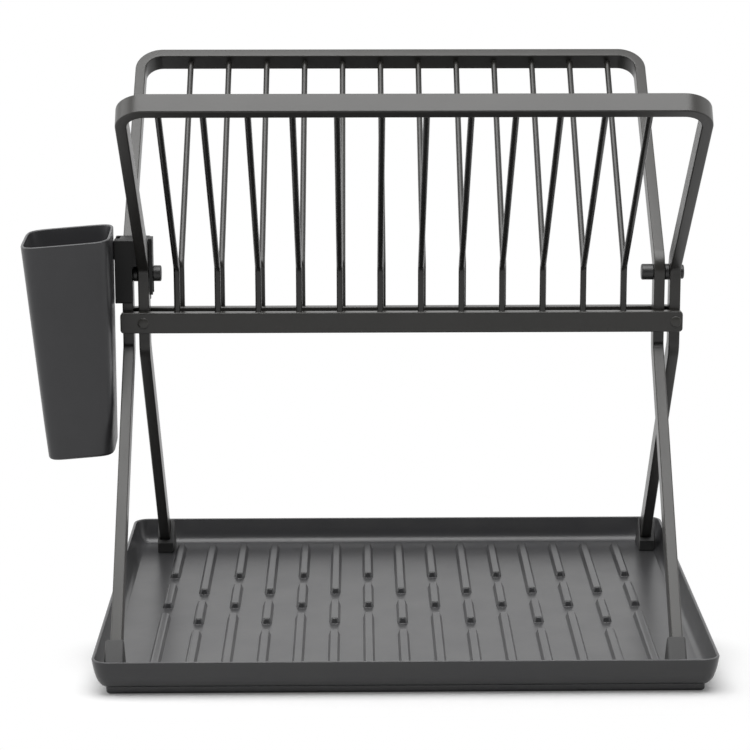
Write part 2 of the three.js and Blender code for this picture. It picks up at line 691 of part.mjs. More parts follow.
/** Cap on a leg's end. The two on a frame are the same, with the thick cheek to the right. */
function footCap(name, x) {
  const tallZ = capBaseZ + CAP_TALL_HEIGHT;
  const ring = (atX, inset, lift) => [
    [capInnerY + inset, capBaseZ + lift],
    [capInnerY + inset, capBaseZ + CAP_LOW_HEIGHT - inset],
    [toeFace(tallZ) + CAP_TOP_WALL, tallZ - 2 * inset],
    [capOuterY - inset, capBaseZ + CAP_TOE_HEIGHT - inset],
    [capOuterY - inset, capBaseZ + lift],
  ].map(([y, z]) => new THREE.Vector3(atX, y, z));
  const thin = -halfTubeWidth - SEAT_GAP - CAP_CHEEK;
  const thick = halfTubeWidth + SEAT_GAP + CAP_THICK_CHEEK;
  const edgeLift = CAP_BOWL_RISE * (1 - CAP_EDGE / CAP_BOWL_RUN);
  const body = loft([
    ring(thin, CAP_EDGE, 0),
    ring(thin + CAP_EDGE, 0, 0),
    ring(thick - CAP_BOWL_RUN, 0, 0),
    ring(thick - CAP_EDGE, 0, edgeLift),
    ring(thick, CAP_EDGE, CAP_BOWL_RISE),
  ]);
  const cap = piece(name, body.subtract(footRoom()), COLOURS.cap, 0.65, 0);
  cap.position.x = x;
  return cap;
}

// Cup hanger

/** Outline in Y and Z of the room that one leg and its far side need. */
function legRoom(side) {
  const slopeHalf = (halfTubeDepth + HANGER_LEG_GAP) / Math.cos(tiltRad);
  const face = (z) => (z - upperBendZ) * Math.tan(tiltRad) - slopeHalf;
  const upright = -halfTubeDepth - HANGER_SWING_GAP;
  const kneeZ = upperBendZ + (upright + slopeHalf) / Math.tan(tiltRad);
  const far = hangerHalfY + CUT_OVERRUN;
  const top = hangerTopZ + CUT_OVERRUN;
  return [
    [upright, 0],
    [Math.max(far, face(top)), 0],
    [Math.max(far, face(top)), top],
    [face(top), top],
    [upright, kneeZ],
  ].map(([y, z]) => [side * y, z]);
}

/** Slot for a pin part, open at the bottom. */
function pinSlot(radius, fromX, toX) {
  const half = radius + PIN_SLOT_GAP;
  const outline = [[half, 0]];
  for (let step = 0; step <= CORNER_STEPS; step += 1) {
    const angle = (Math.PI * step) / CORNER_STEPS;
    outline.push([half * Math.cos(angle), pivotZ + half * Math.sin(angle)]);
  }
  outline.push([-half, 0]);
  return slab(outline, fromX, toX);
}

function cupHanger() {
  const lipFrom = -innerLegX + halfTubeWidth + SEAT_GAP; // lip's face at the inner leg
  const lipTo = lipFrom + HANGER_LIP;
  const beyond = lipTo + CUT_OVERRUN;
  const outside = hangerOuterX - CUT_OVERRUN;
  const above = hangerTopZ + CUT_OVERRUN;
  const far = hangerHalfY + CUT_OVERRUN;
  const lipHalf = COLLAR_RADIUS + PIN_SLOT_GAP + HANGER_LIP_WALL;
  const middleZ = (hangerTopZ + hangerBottomZ) / 2;
  const outline = roundedRectangle(hangerHalfY, (hangerTopZ - hangerBottomZ) / 2,
    HANGER_EDGE_RADIUS, HANGER_EDGE_STEPS).map(([y, z]) => [y, z + middleZ]);
  const outerLegRoom = slab(legRoom(1), hangerInnerX, -outerLegX + halfTubeWidth + HANGER_LEG_GAP);
  const innerLegRoom = slab(legRoom(-1), -innerLegX - halfTubeWidth - HANGER_LEG_GAP, lipFrom);
  const spacerRoom = box([-outerLegX + halfTubeWidth, -far, 0],
    [-innerLegX - halfTubeWidth, far, pivotZ + SPACER_RADIUS + PIN_SLOT_GAP]);
  const lipFront = box([lipFrom, -far, 0], [beyond, -lipHalf, above]);
  const lipBack = box([lipFrom, lipHalf, 0], [beyond, far, above]);
  const lipBelow = box([lipFrom, -far, 0], [beyond, far, hangerBottomZ + HANGER_LIP_RISE]);
  const flangeFrom = hangerOuterX + RAIL_LIP;
  const flangeTo = hangerInnerX - RAIL_BACK_WALL;
  const slotZ = railBottomZ - SLIDE_GAP;
  const neckHalf = RAIL_NECK_HALF + SLIDE_GAP;
  const flangeHalf = RAIL_FLANGE_HALF + SLIDE_GAP;
  const neckSlot = box([outside, RAIL_SHIFT - neckHalf, slotZ], [flangeTo, RAIL_SHIFT + neckHalf, above]);
  const flangeSlot = box([flangeFrom, RAIL_SHIFT - flangeHalf, slotZ],
    [flangeTo, RAIL_SHIFT + flangeHalf, above]);
  const solid = slab(outline, hangerOuterX, lipTo).subtract(Manifold.union([
    outerLegRoom,
    innerLegRoom,
    spacerRoom,
    lipFront,
    lipBack,
    lipBelow,
    pinSlot(PIN_HEAD_RADIUS, outside, -outerLegX),
    pinSlot(COLLAR_RADIUS, -innerLegX, beyond),
    neckSlot,
    flangeSlot,
  ]));
  return piece('cup_hanger', solid, COLOURS.fitting, 0.5, 0);
}

// Cutlery cup

/** Leaning, turned ring of the cup at a share of its height, set in from the outside. */
function cupRing(share, inset, lift) {
  const mix = (key) => cupBottom[key] + (cupTop[key] - cupBottom[key]) * share;
  const lean = Math.tan(radians(CUP_LEAN));
  const turn = radians(CUP_TURN);
  const power = 2 / CUP_SQUARENESS;
  const round = (value) => Math.sign(value) * Math.abs(value) ** power;
  const ring = [];
  for (let i = 0; i < CUP_SIDES; i += 1) {
    const angle = (2 * Math.PI * i) / CUP_SIDES;
    const dx = (mix('halfX') - inset) * round(Math.cos(angle));
    const dy = (mix('halfY') - inset) * round(Math.sin(angle));
    ring.push(new THREE.Vector3(
      mix('x') + dx * Math.cos(turn) - dy * Math.sin(turn),
      cupY + dx * Math.sin(turn) + dy * Math.cos(turn),
      mix('z') + dx * lean + lift,
    ));
  }
  return ring;
}

/** Skin of the cup from a rounded foot up, set in and raised. */
function cupSkin(inset, lift) {
  const foot = CUP_EDGE * (1 - Math.SQRT1_2);
  return [
    cupRing(0, inset + CUP_EDGE, lift),
    cupRing(0, inset + foot, lift + foot),
    cupRing(0, inset, lift + CUP_EDGE),
    cupRing(1, inset, 0),
  ];
}

/** Rail on the cup's inner side that drops into the hanger, rooted behind the cup's wall. */
function cupRail() {
  const flangeFrom = hangerOuterX + RAIL_LIP + SLIDE_GAP;
  const flangeTo = flangeFrom + RAIL_FLANGE_THICKNESS;
  const neck = box([cupTop.x, RAIL_SHIFT - RAIL_NECK_HALF, railBottomZ],
    [flangeTo, RAIL_SHIFT + RAIL_NECK_HALF, railTopZ]);
  const flange = box([flangeFrom, RAIL_SHIFT - RAIL_FLANGE_HALF, railBottomZ],
    [flangeTo, RAIL_SHIFT + RAIL_FLANGE_HALF, railTopZ]);
  return neck.add(flange);
}

/** Holes through the cup's floor: a ring of them and one in the middle. */
function cupDrains() {
  const out = cupBottom.halfX * CUP_DRAIN_RING_SHARE;
  const places = [new THREE.Vector3(cupBottom.x, cupY, cupBottom.z - CUT_OVERRUN)];
  for (let i = 0; i < CUP_DRAIN_COUNT; i += 1) {
    const angle = (2 * Math.PI * i) / CUP_DRAIN_COUNT;
    places.push(places[0].clone()
      .addScaledVector(RIGHT, out * Math.cos(angle))
      .addScaledVector(BACK, out * Math.sin(angle)));
  }
  return Manifold.union(places.map((place) => (
    turned(place, UP, [[0, CUP_DRAIN_RADIUS], [2 * CUT_OVERRUN, CUP_DRAIN_RADIUS]], SMALL_SIDES))));
}

function cutleryCup() {
  const inside = loft([...cupSkin(CUP_WALL, CUP_FLOOR), cupRing(1, CUP_WALL, CUT_OVERRUN)]);
  const solid = loft(cupSkin(0, 0)).add(cupRail()).subtract(inside).subtract(cupDrains());
  return piece('cutlery_cup', solid, COLOURS.cup, 0.5, 0);
}

// Whole rack

/** One frame with all that turns with it. */
function rackFrame(label, footLabel, turnedRound) {
  const [first, second] = turnedRound ? ['right', 'left'] : ['left', 'right'];
  const group = groupOf(
    `folding_${label}`,
    frame(`${label}_frame`),
    crossbar(`${label}_crossbar`),
    rivet(`${label}_${first}_rivet`, -legX),
    rivet(`${label}_${second}_rivet`, legX),
    footCap(`${footLabel}_${first}_foot_cap`, -legX),
    footCap(`${footLabel}_${second}_foot_cap`, legX),
    ...wires(`${label}_wire`, turnedRound),
  );
  group.position.x = turnedRound ? -frameShift : frameShift;
  group.rotation.z = turnedRound ? Math.PI : 0;
  return group;
}

/** Pins and spacers about the line on which the frames turn. */
function pivot() {
  const group = groupOf(
    'pivot',
    pivotPin('left_pivot_pin', -1, HANGER_LIP + COLLAR_ROOM),
    pivotPin('right_pivot_pin', 1, 0),
    pivotSpacer('left_pivot_spacer', -1),
    pivotSpacer('right_pivot_spacer', 1),
  );
  group.position.z = pivotZ;
  return group;
}

const rack = groupOf(
  'folding_dish_rack',
  dripTray(),
  rackFrame('front', 'back', false),
  rackFrame('back', 'front', true),
  pivot(),
  cupHanger(),
  cutleryCup(),
);

export default rack;
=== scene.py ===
"""Folding dish rack: two crossed tube frames with plate wires in a drip tray, and a cutlery cup.

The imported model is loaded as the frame. Each class below builds the visible form of one
sub-assembly in that frame, in metres, and dresses it. Sizes are written in millimetres.
"""

import logging
import math
from dataclasses import astuple, dataclass, field
from enum import Enum

import bmesh
import bpy
from mathutils import Matrix, Vector


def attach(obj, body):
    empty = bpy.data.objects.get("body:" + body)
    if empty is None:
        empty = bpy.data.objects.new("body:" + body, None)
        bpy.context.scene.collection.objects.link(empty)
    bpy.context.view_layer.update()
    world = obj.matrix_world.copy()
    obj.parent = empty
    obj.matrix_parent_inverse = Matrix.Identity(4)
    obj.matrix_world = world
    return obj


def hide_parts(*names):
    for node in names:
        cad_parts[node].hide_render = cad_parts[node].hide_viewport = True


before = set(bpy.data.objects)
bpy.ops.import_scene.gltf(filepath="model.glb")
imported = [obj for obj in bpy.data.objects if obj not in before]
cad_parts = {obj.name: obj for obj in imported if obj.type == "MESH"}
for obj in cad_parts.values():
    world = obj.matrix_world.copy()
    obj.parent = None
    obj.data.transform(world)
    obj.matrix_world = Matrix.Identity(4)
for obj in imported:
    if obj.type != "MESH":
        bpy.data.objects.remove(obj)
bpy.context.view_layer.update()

MM = 0.001
SEAM = 0.002  # corners nearer than this become one, in millimetres
FLAT = 1.0  # faces turned by less than this become one, in degrees
SOFT_SEGMENTS = 3  # of the rounding on a copy of a CAD piece
BLOCK_SEGMENTS = 2  # of the rounding on a small block
log = logging.getLogger("dish_rack")

X_AXIS = Vector((1.0, 0.0, 0.0))
Y_AXIS = Vector((0.0, 1.0, 0.0))
Z_AXIS = Vector((0.0, 0.0, 1.0))


class Labelled(Enum):
    """A choice whose name is a word in the names of pieces."""

    @property
    def label(self) -> str:
        """The word in small letters."""
        return self.name.lower()


class Side(Labelled):
    """The two crossed frames. The value is the direction in which a frame's top leans along Y."""

    FRONT = -1
    BACK = 1

    @property
    def other(self) -> "Side":
        """The side opposite."""
        return Side(-self.value)


class Hand(Labelled):
    """The two ends of the rack along X."""

    LEFT = -1
    RIGHT = 1


class Make(Enum):
    """How a surface was made, which decides the size of its grain in millimetres."""

    POWDER_COATED = 0.9
    SPARK_ERODED_MOULD = 0.55
    SMOOTH_MOULD = 1.6


def linear(hex_colour: str) -> tuple[float, float, float, float]:
    """Turn an sRGB hex colour to linear light.

    Args:
        hex_colour: Six hex digits after a hash sign.

    Returns:
        Red, green and blue in linear light, and an alpha of 1.
    """
    levels = [int(hex_colour[i : i + 2], 16) / 255 for i in (1, 3, 5)]
    red, green, blue = (v / 12.92 if v <= 0.04045 else ((v + 0.055) / 1.055) ** 2.4 for v in levels)
    return red, green, blue, 1.0


WHITE = linear("#ffffff")


def bare_tree(owner: bpy.types.Material | bpy.types.World) -> bpy.types.NodeTree:
    """Give a material or a world an empty node tree.

    Args:
        owner: The material or world.

    Returns:
        Its tree.
    """
    owner.use_nodes = True
    owner.node_tree.nodes.clear()
    return owner.node_tree


def add_node(
    tree: bpy.types.NodeTree,
    kind: str,
    settings: dict[str | int, object] | None = None,
    links: dict[str | int, bpy.types.NodeSocket] | None = None,
) -> bpy.types.Node:
    """Add a shader node with its settings and links.

    Args:
        tree: The node tree that gets the node.
        kind: The node's type, such as ShaderNodeTexNoise.
        settings: Names of attributes, or names or places of inputs, and their values.
        links: Names or places of inputs, and the output sockets that feed them.

    Returns:
        The new node.
    """
    node = tree.nodes.new(kind)
    for name, value in (settings or {}).items():
        if isinstance(name, str) and hasattr(node, name):
            setattr(node, name, value)
        else:
            node.inputs[name].default_value = value
    for name, socket in (links or {}).items():
        tree.links.new(socket, node.inputs[name])
    return node


@dataclass(frozen=True)
class Finish:
    """One real material, with its colour and the grain that its making leaves."""

    name: str
    slot: str
    make: Make
    colour: str
    mottle: str  # the second colour of the slow variation over a hand's width
    worn: str  # where edges rub
    roughness: float
    roughness_spread: float
    grain_depth: float  # millimetres
    ior: float
    specular: float = 0.5
    mottle_size: float = 35.0  # millimetres
    mottle_span: tuple[float, float] = (0.35, 0.65)  # of the noise, from one colour to the other
    rub_span: tuple[float, float] = (0.515, 0.6)  # of the pointiness at which wear starts and is full
    rub_share: float = 0.55  # how much of the worn colour shows at most

    def material(self) -> bpy.types.Material:
        """Build the procedural material, or find it if it was built before.

        Returns:
            The material, which reads Object coordinates in metres.
        """
        known = bpy.data.materials.get(self.name)
        if known:
            return known
        made = bpy.data.materials.new(self.name)
        tree = bare_tree(made)
        place = add_node(tree, "ShaderNodeTexCoord")
        slow = add_node(
            tree,
            "ShaderNodeTexNoise",
            {"Scale": 1 / (self.mottle_size * MM), "Detail": 3.0, "Roughness": 0.55},
            {"Vector": place.outputs["Object"]},
        )
        spread = add_node(
            tree,
            "ShaderNodeMapRange",
            {"From Min": self.mottle_span[0], "From Max": self.mottle_span[1]},
            {"Value": slow.outputs["Fac"]},
        )
        body = add_node(
            tree,
            "ShaderNodeMix",
            {"data_type": "RGBA", 6: linear(self.colour), 7: linear(self.mottle)},
            {0: spread.outputs["Result"]},
        )
        edges = add_node(tree, "ShaderNodeNewGeometry")
        rubbed = add_node(
            tree,
            "ShaderNodeMapRange",
            {"From Min": self.rub_span[0], "From Max": self.rub_span[1], "To Max": self.rub_share},
            {"Value": edges.outputs["Pointiness"]},
        )
        coat = add_node(
            tree,
            "ShaderNodeMix",
            {"data_type": "RGBA", 7: linear(self.worn)},
            {0: rubbed.outputs["Result"], 6: body.outputs[2]},
        )
        grain = add_node(
            tree,
            "ShaderNodeTexNoise",
            {"Scale": 1 / (self.make.value * MM), "Detail": 4.0, "Roughness": 0.6},
            {"Vector": place.outputs["Object"]},
        )
        relief = add_node(
            tree,
            "ShaderNodeBump",
            {"Strength": 1.0, "Distance": self.grain_depth * MM},
            {"Height": grain.outputs["Fac"]},
        )
        sheen = add_node(
            tree,
            "ShaderNodeMapRange",
            {
                "To Min": self.roughness - self.roughness_spread,
                "To Max": self.roughness + self.roughness_spread,
            },
            {"Value": slow.outputs["Fac"]},
        )
        shader = add_node(
            tree,
            "ShaderNodeBsdfPrincipled",
            {"IOR": self.ior, "Metallic": 0.0, "Specular IOR Level": self.specular},
            {
                "Base Color": coat.outputs[2],
                "Roughness": sheen.outputs["Result"],
                "Normal": relief.outputs["Normal"],
            },
        )
        add_node(tree, "ShaderNodeOutputMaterial", links={"Surface": shader.outputs["BSDF"]})
        return made


# Steel tube under a baked polyester powder coat: satin, with a slight orange peel.
COATED_TUBE = Finish(
    name="powder_coated_steel_tube",
    slot="tube_steel",
    make=Make.POWDER_COATED,
    colour="#353432",
    mottle="#32312f",
    worn="#403f3c",
    roughness=0.32,
    roughness_spread=0.03,
    grain_depth=0.01,
    ior=1.5,
    specular=0.44,
)
# The same coat on round wire, where it lies thinner and smoother; its colours are darker than the tube's, as
# painted shade on the wire.
COATED_WIRE_WITH_PAINTED_SHADE = Finish(
    name="powder_coated_steel_wire",
    slot="wire_steel",
    make=Make.POWDER_COATED,
    colour="#2a2927",
    mottle="#272624",
    worn="#363532",
    roughness=0.24,
    roughness_spread=0.03,
    grain_depth=0.004,
    ior=1.5,
    specular=0.4,
)
# Coated rivet heads, rubbed a little lighter and smoother than the tube.
COATED_RIVET = Finish(
    name="powder_coated_rivet",
    slot="rivet_steel",
    make=Make.POWDER_COATED,
    colour="#3b3a37",
    mottle="#383734",
    worn="#4a4945",
    roughness=0.38,
    roughness_spread=0.03,
    grain_depth=0.008,
    ior=1.5,
)
# Injection-moulded polypropylene with a fine eroded texture, which scatters the light softly.
TRAY_PLASTIC = Finish(
    name="moulded_polypropylene_tray",
    slot="tray_plastic",
    make=Make.SPARK_ERODED_MOULD,
    colour="#404041",
    mottle="#3d3d3f",
    worn="#4c4c4d",
    roughness=0.3,
    roughness_spread=0.05,
    grain_depth=0.018,
    ior=1.49,
)
# The cup's polypropylene, a little smoother than the tray's.
CUP_PLASTIC = Finish(
    name="moulded_polypropylene_cup",
    slot="cup_plastic",
    make=Make.SPARK_ERODED_MOULD,
    colour="#404042",
    mottle="#3d3d3f",
    worn="#565657",
    roughness=0.36,
    roughness_spread=0.04,
    grain_depth=0.016,
    ior=1.49,
)
# Softer moulded plastic of the feet: dull, so that it grips the tray.
CAP_PLASTIC = Finish(
    name="moulded_elastomer_foot",
    slot="cap_plastic",
    make=Make.SPARK_ERODED_MOULD,
    colour="#333333",
    mottle="#303030",
    worn="#404040",
    roughness=0.5,
    roughness_spread=0.04,
    grain_depth=0.015,
    ior=1.5,
)
# Glass-filled nylon of the hanger: nearly black, with a smooth moulded face.
HANGER_PLASTIC = Finish(
    name="moulded_nylon_hanger",
    slot="hanger_plastic",
    make=Make.SMOOTH_MOULD,
    colour="#141414",
    mottle="#111111",
    worn="#222222",
    roughness=0.5,
    roughness_spread=0.04,
    grain_depth=0.01,
    ior=1.53,
    specular=0.3,
)
# The same nylon on the turned pins and spacers.
PIN_PLASTIC = Finish(
    name="moulded_nylon_pin",
    slot="pin_plastic",
    make=Make.SMOOTH_MOULD,
    colour="#1f1f1f",
    mottle="#1c1c1c",
    worn="#353535",
    roughness=0.42,
    roughness_spread=0.04,
    grain_depth=0.01,
    ior=1.53,
)


@dataclass
class RoundedRing:
    """A closed ring of edges around a rounded rectangle, which grows a skin ring by ring."""

    bm: bmesh.types.BMesh
    half_x: float
    half_y: float
    radius: float
    z: float
    segments: int
    verts: list[bmesh.types.BMVert] = field(default_factory=list)
    edges: list[bmesh.types.BMEdge] = field(default_factory=list)

    def start(self) -> "RoundedRing":
        """Make the first ring from one face with rounded corners.

        Returns:
            This ring.
        """
        made = bmesh.ops.create_grid(self.bm, x_segments=1, y_segments=1, size=1.0)
        shape = Matrix.Translation((0, 0, self.z)) @ Matrix.Diagonal((self.half_x, self.half_y, 1.0, 1.0))
        bmesh.ops.transform(self.bm, matrix=shape, verts=made["verts"])
        rounded = bmesh.ops.bevel(
            self.bm,
            geom=made["verts"],
            offset=self.radius,
            segments=self.segments,
            profile=0.5,
            affect="VERTICES",
            material=-1,
        )
        face = next(f for f in self.bm.faces if set(rounded["verts"]) & set(f.verts))
        self.verts = list(face.verts)
        self.edges = list(face.edges)
        bmesh.ops.delete(self.bm, geom=[face], context="FACES_ONLY")
        return self

    def step(self, half_x: float, half_y: float, radius: float, z: float) -> "RoundedRing":
        """Grow the skin by one ring of another size and height.

        Args:
            half_x: Half width of the new ring.
            half_y: Half length of the new ring.
            radius: Corner radius of the new ring.
            z: Height of the new ring.

        Returns:
            This ring, now at its new size.
        """
        grown = bmesh.ops.extrude_edge_only(self.bm, edges=self.edges)["geom"]
        self.edges = [g for g in grown if isinstance(g, bmesh.types.BMEdge)]
        self.verts = [g for g in grown if isinstance(g, bmesh.types.BMVert)]
        scale = Matrix.Diagonal((radius / self.radius, radius / self.radius, 1.0, 1.0))
        old_x, old_y = self.half_x - self.radius, self.half_y - self.radius
        new_x, new_y = half_x - radius, half_y - radius
        for sign_x in (-1, 1):
            for sign_y in (-1, 1):
                corner = [v for v in self.verts if v.co.x * sign_x > 0 and v.co.y * sign_y > 0]
                old = Vector((sign_x * old_x, sign_y * old_y, self.z))
                new = Vector((sign_x * new_x, sign_y * new_y, z))
                move = Matrix.Translation(new) @ scale @ Matrix.Translation(-old)
                bmesh.ops.transform(self.bm, matrix=move, verts=corner)
        self.half_x, self.half_y, self.radius, self.z = half_x, half_y, radius, z
        return self

    def close(self) -> None:
        """Fill the ring with one flat face."""
        bmesh.ops.contextual_create(self.bm, geom=self.edges)


@dataclass
class Run:
    """The open end of a bent tube or wire: its ring of edges, middle and direction."""

    bm: bmesh.types.BMesh
    edges: list[bmesh.types.BMEdge]
    verts: list[bmesh.types.BMVert]
    middle: Vector
    direction: Vector

    def straight(self, length: float) -> "Run":
        """Draw the tube on in a straight line.

        Args:
            length: How far.

        Returns:
            This run, at its new end.
        """
        self._take(bmesh.ops.extrude_edge_only(self.bm, edges=self.edges)["geom"])
        bmesh.ops.translate(self.bm, vec=self.direction * length, verts=self.verts)
        self.middle = self.middle + self.direction * length
        return self

    def bend(self, towards: Vector, radius: float, angle: float, steps: int) -> "Run":
        """Draw the tube on round a bend.

        Args:
            towards: Direction from the middle to the centre of the bend.
            radius: Radius of the tube's middle line.
            angle: Turn in radians.
            steps: Number of rings.

        Returns:
            This run, at its new end.
        """
        centre = self.middle + towards * radius
        axis = self.direction.cross(towards).normalized()
        last = bmesh.ops.spin(
            self.bm,
            geom=self.verts + self.edges,
            cent=centre,
            axis=axis,
            dvec=Vector((0.0, 0.0, 0.0)),
            angle=angle,
            steps=steps,
            use_duplicate=False,
        )["geom_last"]
        self._take(last)
        turn = Matrix.Rotation(angle, 3, axis)
        self.middle = centre + turn @ (self.middle - centre)
        self.direction = turn @ self.direction
        return self

    def swell(self, factor: float) -> "Run":
        """Widen or narrow the open end.

        Args:
            factor: New size over the present one.

        Returns:
            This run.
        """
        bmesh.ops.scale(
            self.bm,
            vec=(factor, factor, factor),
            space=Matrix.Translation(-self.middle),
            verts=self.verts,
        )
        return self

    def _take(self, geom: list[bmesh.types.BMVert | bmesh.types.BMEdge | bmesh.types.BMFace]) -> None:
        """Keep the edges and corners of the new end."""
        self.edges = [g for g in geom if isinstance(g, bmesh.types.BMEdge)]
        self.verts = [g for g in geom if isinstance(g, bmesh.types.BMVert)]


def rounding(radius: float, steps: int) -> list[tuple[float, float]]:
    """List the points of a quarter round between an end face and the side next to it.

    Args:
        radius: Radius of the rounding.
        steps: Number of steps over the quarter.

    Returns:
        How far in from the side and how far up from the end face each point lies, from the face on.
    """
    turns = [math.pi / 2 * step / steps for step in range(steps + 1)]
    return [(radius * (1 - math.sin(turn)), radius * (1 - math.cos(turn))) for turn in turns]


def put_in_scene(bm: bmesh.types.BMesh, name: str) -> bpy.types.Object:
    """Turn a bmesh into an object at the origin.

    Args:
        bm: The mesh, which is freed.
        name: Name of the object and of its mesh.

    Returns:
        The object.
    """
    mesh = bpy.data.meshes.new(name)
    bm.to_mesh(mesh)
    bm.free()
    made = bpy.data.objects.new(name, mesh)
    bpy.context.scene.collection.objects.link(made)
    return made


def take_back(made: bpy.types.Object) -> bmesh.types.BMesh:
    """Turn an object that was only needed for a cut back into a bmesh.

    Args:
        made: The object, which is removed.

    Returns:
        Its mesh.
    """
    bm = bmesh.new()
    bm.from_mesh(made.data)
    bpy.data.objects.remove(made)
    return bm


def finish_piece(
    bm: bmesh.types.BMesh,
    name: str,
    finish: Finish,
    body: str,
    nodes: list[str],
    crease: float = 40.0,
) -> bpy.types.Object:
    """Turn a bmesh into a dressed piece that rides on its body.

    Args:
        bm: The closed mesh in metres, which is freed.
        name: The piece's name.
        finish: Its material.
        body: The CAD body that it moves with.
        nodes: The CAD nodes that it stands for.
        crease: Edges turned by more than this many degrees stay crisp.

    Returns:
        The new object.
    """
    bmesh.ops.remove_doubles(bm, verts=bm.verts, dist=SEAM * MM)
    bmesh.ops.recalc_face_normals(bm, faces=bm.faces)
    piece = put_in_scene(bm, name)
    mesh = piece.data
    mesh.shade_smooth()
    mesh.set_sharp_from_angle(angle=math.radians(crease))
    mesh.materials.append(finish.material())
    piece.modifiers.new("even_shading", "WEIGHTED_NORMAL").keep_sharp = True
    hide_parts(*nodes)
    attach(piece, body)
    log.info("%s: %d faces on %s", name, len(mesh.polygons), body)
    return piece


def revolve(start: Vector, axis: Vector, profile: list[tuple[float, float]], sides: int) -> bmesh.types.BMesh:
    """Spin a profile round an axis and close its two ends.

    Args:
        start: Where the axis starts, in millimetres.
        axis: Unit direction of the axis.
        profile: Distance along the axis and radius of each point, in millimetres.
        sides: Steps of the full turn.

    Returns:
        The turned form.
    """
    bm = bmesh.new()
    start = start * MM
    out = axis.orthogonal().normalized()
    verts = [bm.verts.new(start + axis * (along * MM) + out * (radius * MM)) for along, radius in profile]
    edges = [bm.edges.new(pair) for pair in zip(verts, verts[1:])]
    bmesh.ops.spin(
        bm,
        geom=verts + edges,
        cent=start,
        axis=axis,
        dvec=Vector((0.0, 0.0, 0.0)),
        angle=2 * math.pi,
        steps=sides,
        use_merge=True,
        use_duplicate=False,
    )
    bmesh.ops.holes_fill(bm, edges=[e for e in bm.edges if e.is_boundary])
    return bm


def merged_copy(node: str) -> bmesh.types.BMesh:
    """Copy a CAD node's mesh, with its loose triangles joined and flat areas made whole.

    Args:
        node: The CAD node's name.

    Returns:
        The joined copy.
    """
    bm = bmesh.new()
    bm.from_mesh(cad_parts[node].data)
    bmesh.ops.remove_doubles(bm, verts=bm.verts, dist=SEAM * MM)
    bmesh.ops.dissolve_limit(bm, angle_limit=math.radians(FLAT), verts=bm.verts, edges=bm.edges)
    return bm


def soften(bm: bmesh.types.BMesh, width: float, above: float) -> None:
    """Round the outward edges of a mesh.

    Args:
        bm: The joined mesh.
        width: Width of the rounding in millimetres.
        above: Only edges turned by more than this many degrees are rounded.
    """
    sharp = [e for e in bm.edges if e.is_manifold and e.calc_face_angle_signed(0.0) > math.radians(above)]
    bmesh.ops.bevel(
        bm,
        geom=sharp,
        offset=width * MM,
        segments=SOFT_SEGMENTS,
        profile=0.5,
        affect="EDGES",
        clamp_overlap=True,
        material=-1,
    )


def block(bm: bmesh.types.BMesh, spans: tuple[tuple[float, float], ...], edge: float) -> None:
    """Add a softened block.

    Args:
        bm: The mesh that gets it.
        spans: Lowest and highest value along X, Y and Z in millimetres.
        edge: Width of the rounding.
    """
    made = bmesh.ops.create_cube(bm, size=1.0)
    middle = Vector([(low + high) / 2 for low, high in spans]) * MM
    shape = Matrix.Diagonal([(high - low) * MM for low, high in spans] + [1.0])
    bmesh.ops.transform(bm, matrix=Matrix.Translation(middle) @ shape, verts=made["verts"])
    bmesh.ops.bevel(
        bm,
        geom=list({e for v in made["verts"] for e in v.link_edges}),
        offset=edge * MM,
        segments=BLOCK_SEGMENTS,
        profile=0.5,
        affect="EDGES",
        material=-1,
    )


def cut_away(target: bpy.types.Object, cutter: bpy.types.Object) -> None:
    """Cut one object out of another and remove the cutter.

    Args:
        target: The object that keeps its name and gets the cut mesh.
        cutter: The object that is taken away.
    """
    cut = target.modifiers.new("cut", "BOOLEAN")
    cut.object = cutter
    cut.operation = "DIFFERENCE"
    cut.solver = "EXACT"
    graph = bpy.context.evaluated_depsgraph_get()
    result = bpy.data.meshes.new_from_object(target.evaluated_get(graph))
    target.modifiers.clear()
    old = target.data
    target.data = result
    bpy.data.meshes.remove(old)
    bpy.data.objects.remove(cutter)


@dataclass
class RackLines:
    """Lines that several sub-assemblies share, in millimetres."""

    floor_z: float = 7.7
    lower_bend_z: float = 210.0
    upper_bend_z: float = 272.2
    pivot_z: float = 265.9
    tilt: float = 51.2
    outer_leg_x: float = 202.8
    inner_leg_x: float = 191.0
    bar_z: float = 230.9
    bar_y: float = 11.3
    seat_gap: float = 0.3

    @property
    def leg_x(self) -> float:
        """Middle of a leg in its own frame."""
        return (self.outer_leg_x + self.inner_leg_x) / 2

    @property
    def shift(self) -> float:
        """How far each frame stands to its own side."""
        return (self.outer_leg_x - self.inner_leg_x) / 2

    def leg_at(self, side: Side, hand: Hand) -> float:
        """Middle of one leg along X."""
        return hand.value * self.leg_x - side.value * self.shift


